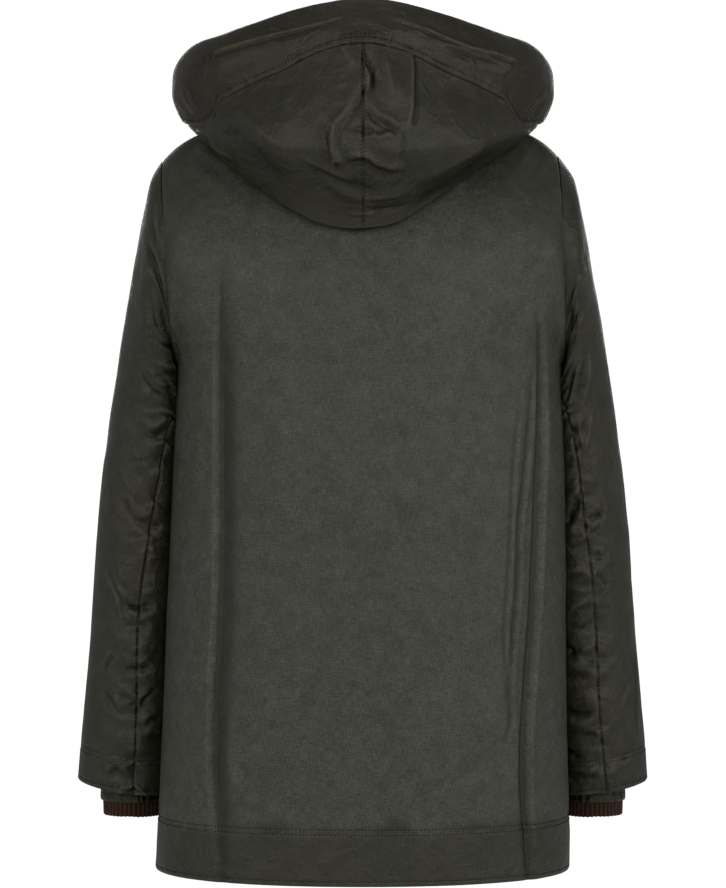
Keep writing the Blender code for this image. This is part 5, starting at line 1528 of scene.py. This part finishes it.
def build_zip():
    middles, outs = zip(*(front_middle(level) for level in ZIP_LEVELS))
    middles, outs = np.array(middles), np.array(outs)
    across = np.linspace(-TAPE_HALF, TAPE_HALF, 9)
    grid = middles[:, None] + across[None, :, None] * np.array([1.0, 0, 0])
    normals = np.repeat(outs[:, None], len(across), axis=1)
    out = np.full(grid.shape[:2], -TAPE_SUNK)
    odd = slice((len(grid) - 1) // 2 * 2 + 1)  # an odd count of rows, as the shell's inside needs
    tape, _ = cloth_shell("zip_tape", grid[odd], normals[odd], out[odd], ZIP_TAPE, [], skip=2)
    settle(tape, "jacket", "zip_metal", "zip_chain")
    path = middles + outs * 0.0001
    half_on = path[0] + unit(path[1] - path[0]) * TOOTH_PITCH / 2
    off = np.array([TOOTH_OFF, 0, 0])
    source = paths_object("tooth_paths", [path - off, np.array([half_on, *path[2:-1]]) + off])
    teeth = grown(zip_teeth(), "zip_teeth", source, {"Metal": ZIP_METAL})
    settle(teeth, "jacket", "zip_metal")


# ---------------------------------------------------------------- stage, light and camera
def paint_node(node, material):
    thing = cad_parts[node]
    thing.data.materials.clear()
    thing.data.materials.append(material)


def build_stage():
    half = FLOOR_SIZE / 2
    mesh = bpy.data.meshes.new("floor")
    mesh.from_pydata([(-half, -half, FLOOR_Z), (half, -half, FLOOR_Z), (half, half, FLOOR_Z),
                      (-half, half, FLOOR_Z)], [], [(0, 1, 2, 3)])
    mesh.materials.append(
        new_material("floor", Roughness=0.9, Base_Color=(0.8, 0.8, 0.79, 1))[0])
    floor = put_in_scene("floor", mesh)


def add_light(name, place, target, size, power):
    data = bpy.data.lights.new(name, "AREA")
    data.shape = "RECTANGLE"
    data.size, data.size_y = size
    data.energy = power
    light = put_in_scene(name, data)
    light.location = place
    x, y, z = unit(np.array(place) - np.array(target))
    light.rotation_euler = (math.acos(z), 0, math.atan2(x, -y))


def build_light():
    world = bpy.data.worlds.new("studio")
    world.use_nodes = True
    tree = world.node_tree
    background = tree.nodes["Background"]
    background.inputs["Color"].default_value = (1, 1, 1, 1)
    seen = add(tree, "ShaderNodeLightPath").outputs["Is Camera Ray"]
    strength = ramp(tree, seen, 0, 1, 0.26, 1.05)
    tree.links.new(strength, background.inputs["Strength"])
    bpy.context.scene.world = world
    middle = (0, 0, -0.35)
    for side, power, edge_power in ((LEFT, 25, 15), (RIGHT, 30, 19)):
        name = SIDE_WORD[side]
        add_light(f"softbox_{name}", (1.7 * side, 3.3, 0.75), middle, (1.0, 1.8), power)
        add_light(f"edge_light_{name}", (3.0 * side, 1.3, 0.1), middle, (0.8, 2.2), edge_power)
    add_light("softbox_middle", (0, 3.7, 0.7), middle, (0.9, 0.9), 8)
    add_light("softbox_top", (0, 0.4, 2.3), middle, (1.8, 1.2), 7)
    add_light("softbox_front", (0, -3.2, 0.6), middle, (2.4, 2.0), 45)
    bpy.context.scene.view_settings.view_transform = "Standard"


def build_camera():
    data = bpy.data.cameras.new("camera")
    data.lens, data.sensor_width = CAMERA_LENS, 36
    camera = put_in_scene("camera", data)
    camera.location = CAMERA_PLACE
    camera.rotation_euler = (math.pi / 2, 0, math.pi)
    bpy.context.scene.camera = camera


build_camera()
build_light()
build_stage()
build_back()
for wearer_side in (LEFT, RIGHT):
    build_front(wearer_side)
    build_sleeve(wearer_side)
    build_cuff(wearer_side)
    build_band(wearer_side)
build_hood()
build_topstitching()
build_zip()
for metal_node in ("zip_box", "zip_slider", "zip_pull"):
    paint_node(metal_node, ZIP_METAL)
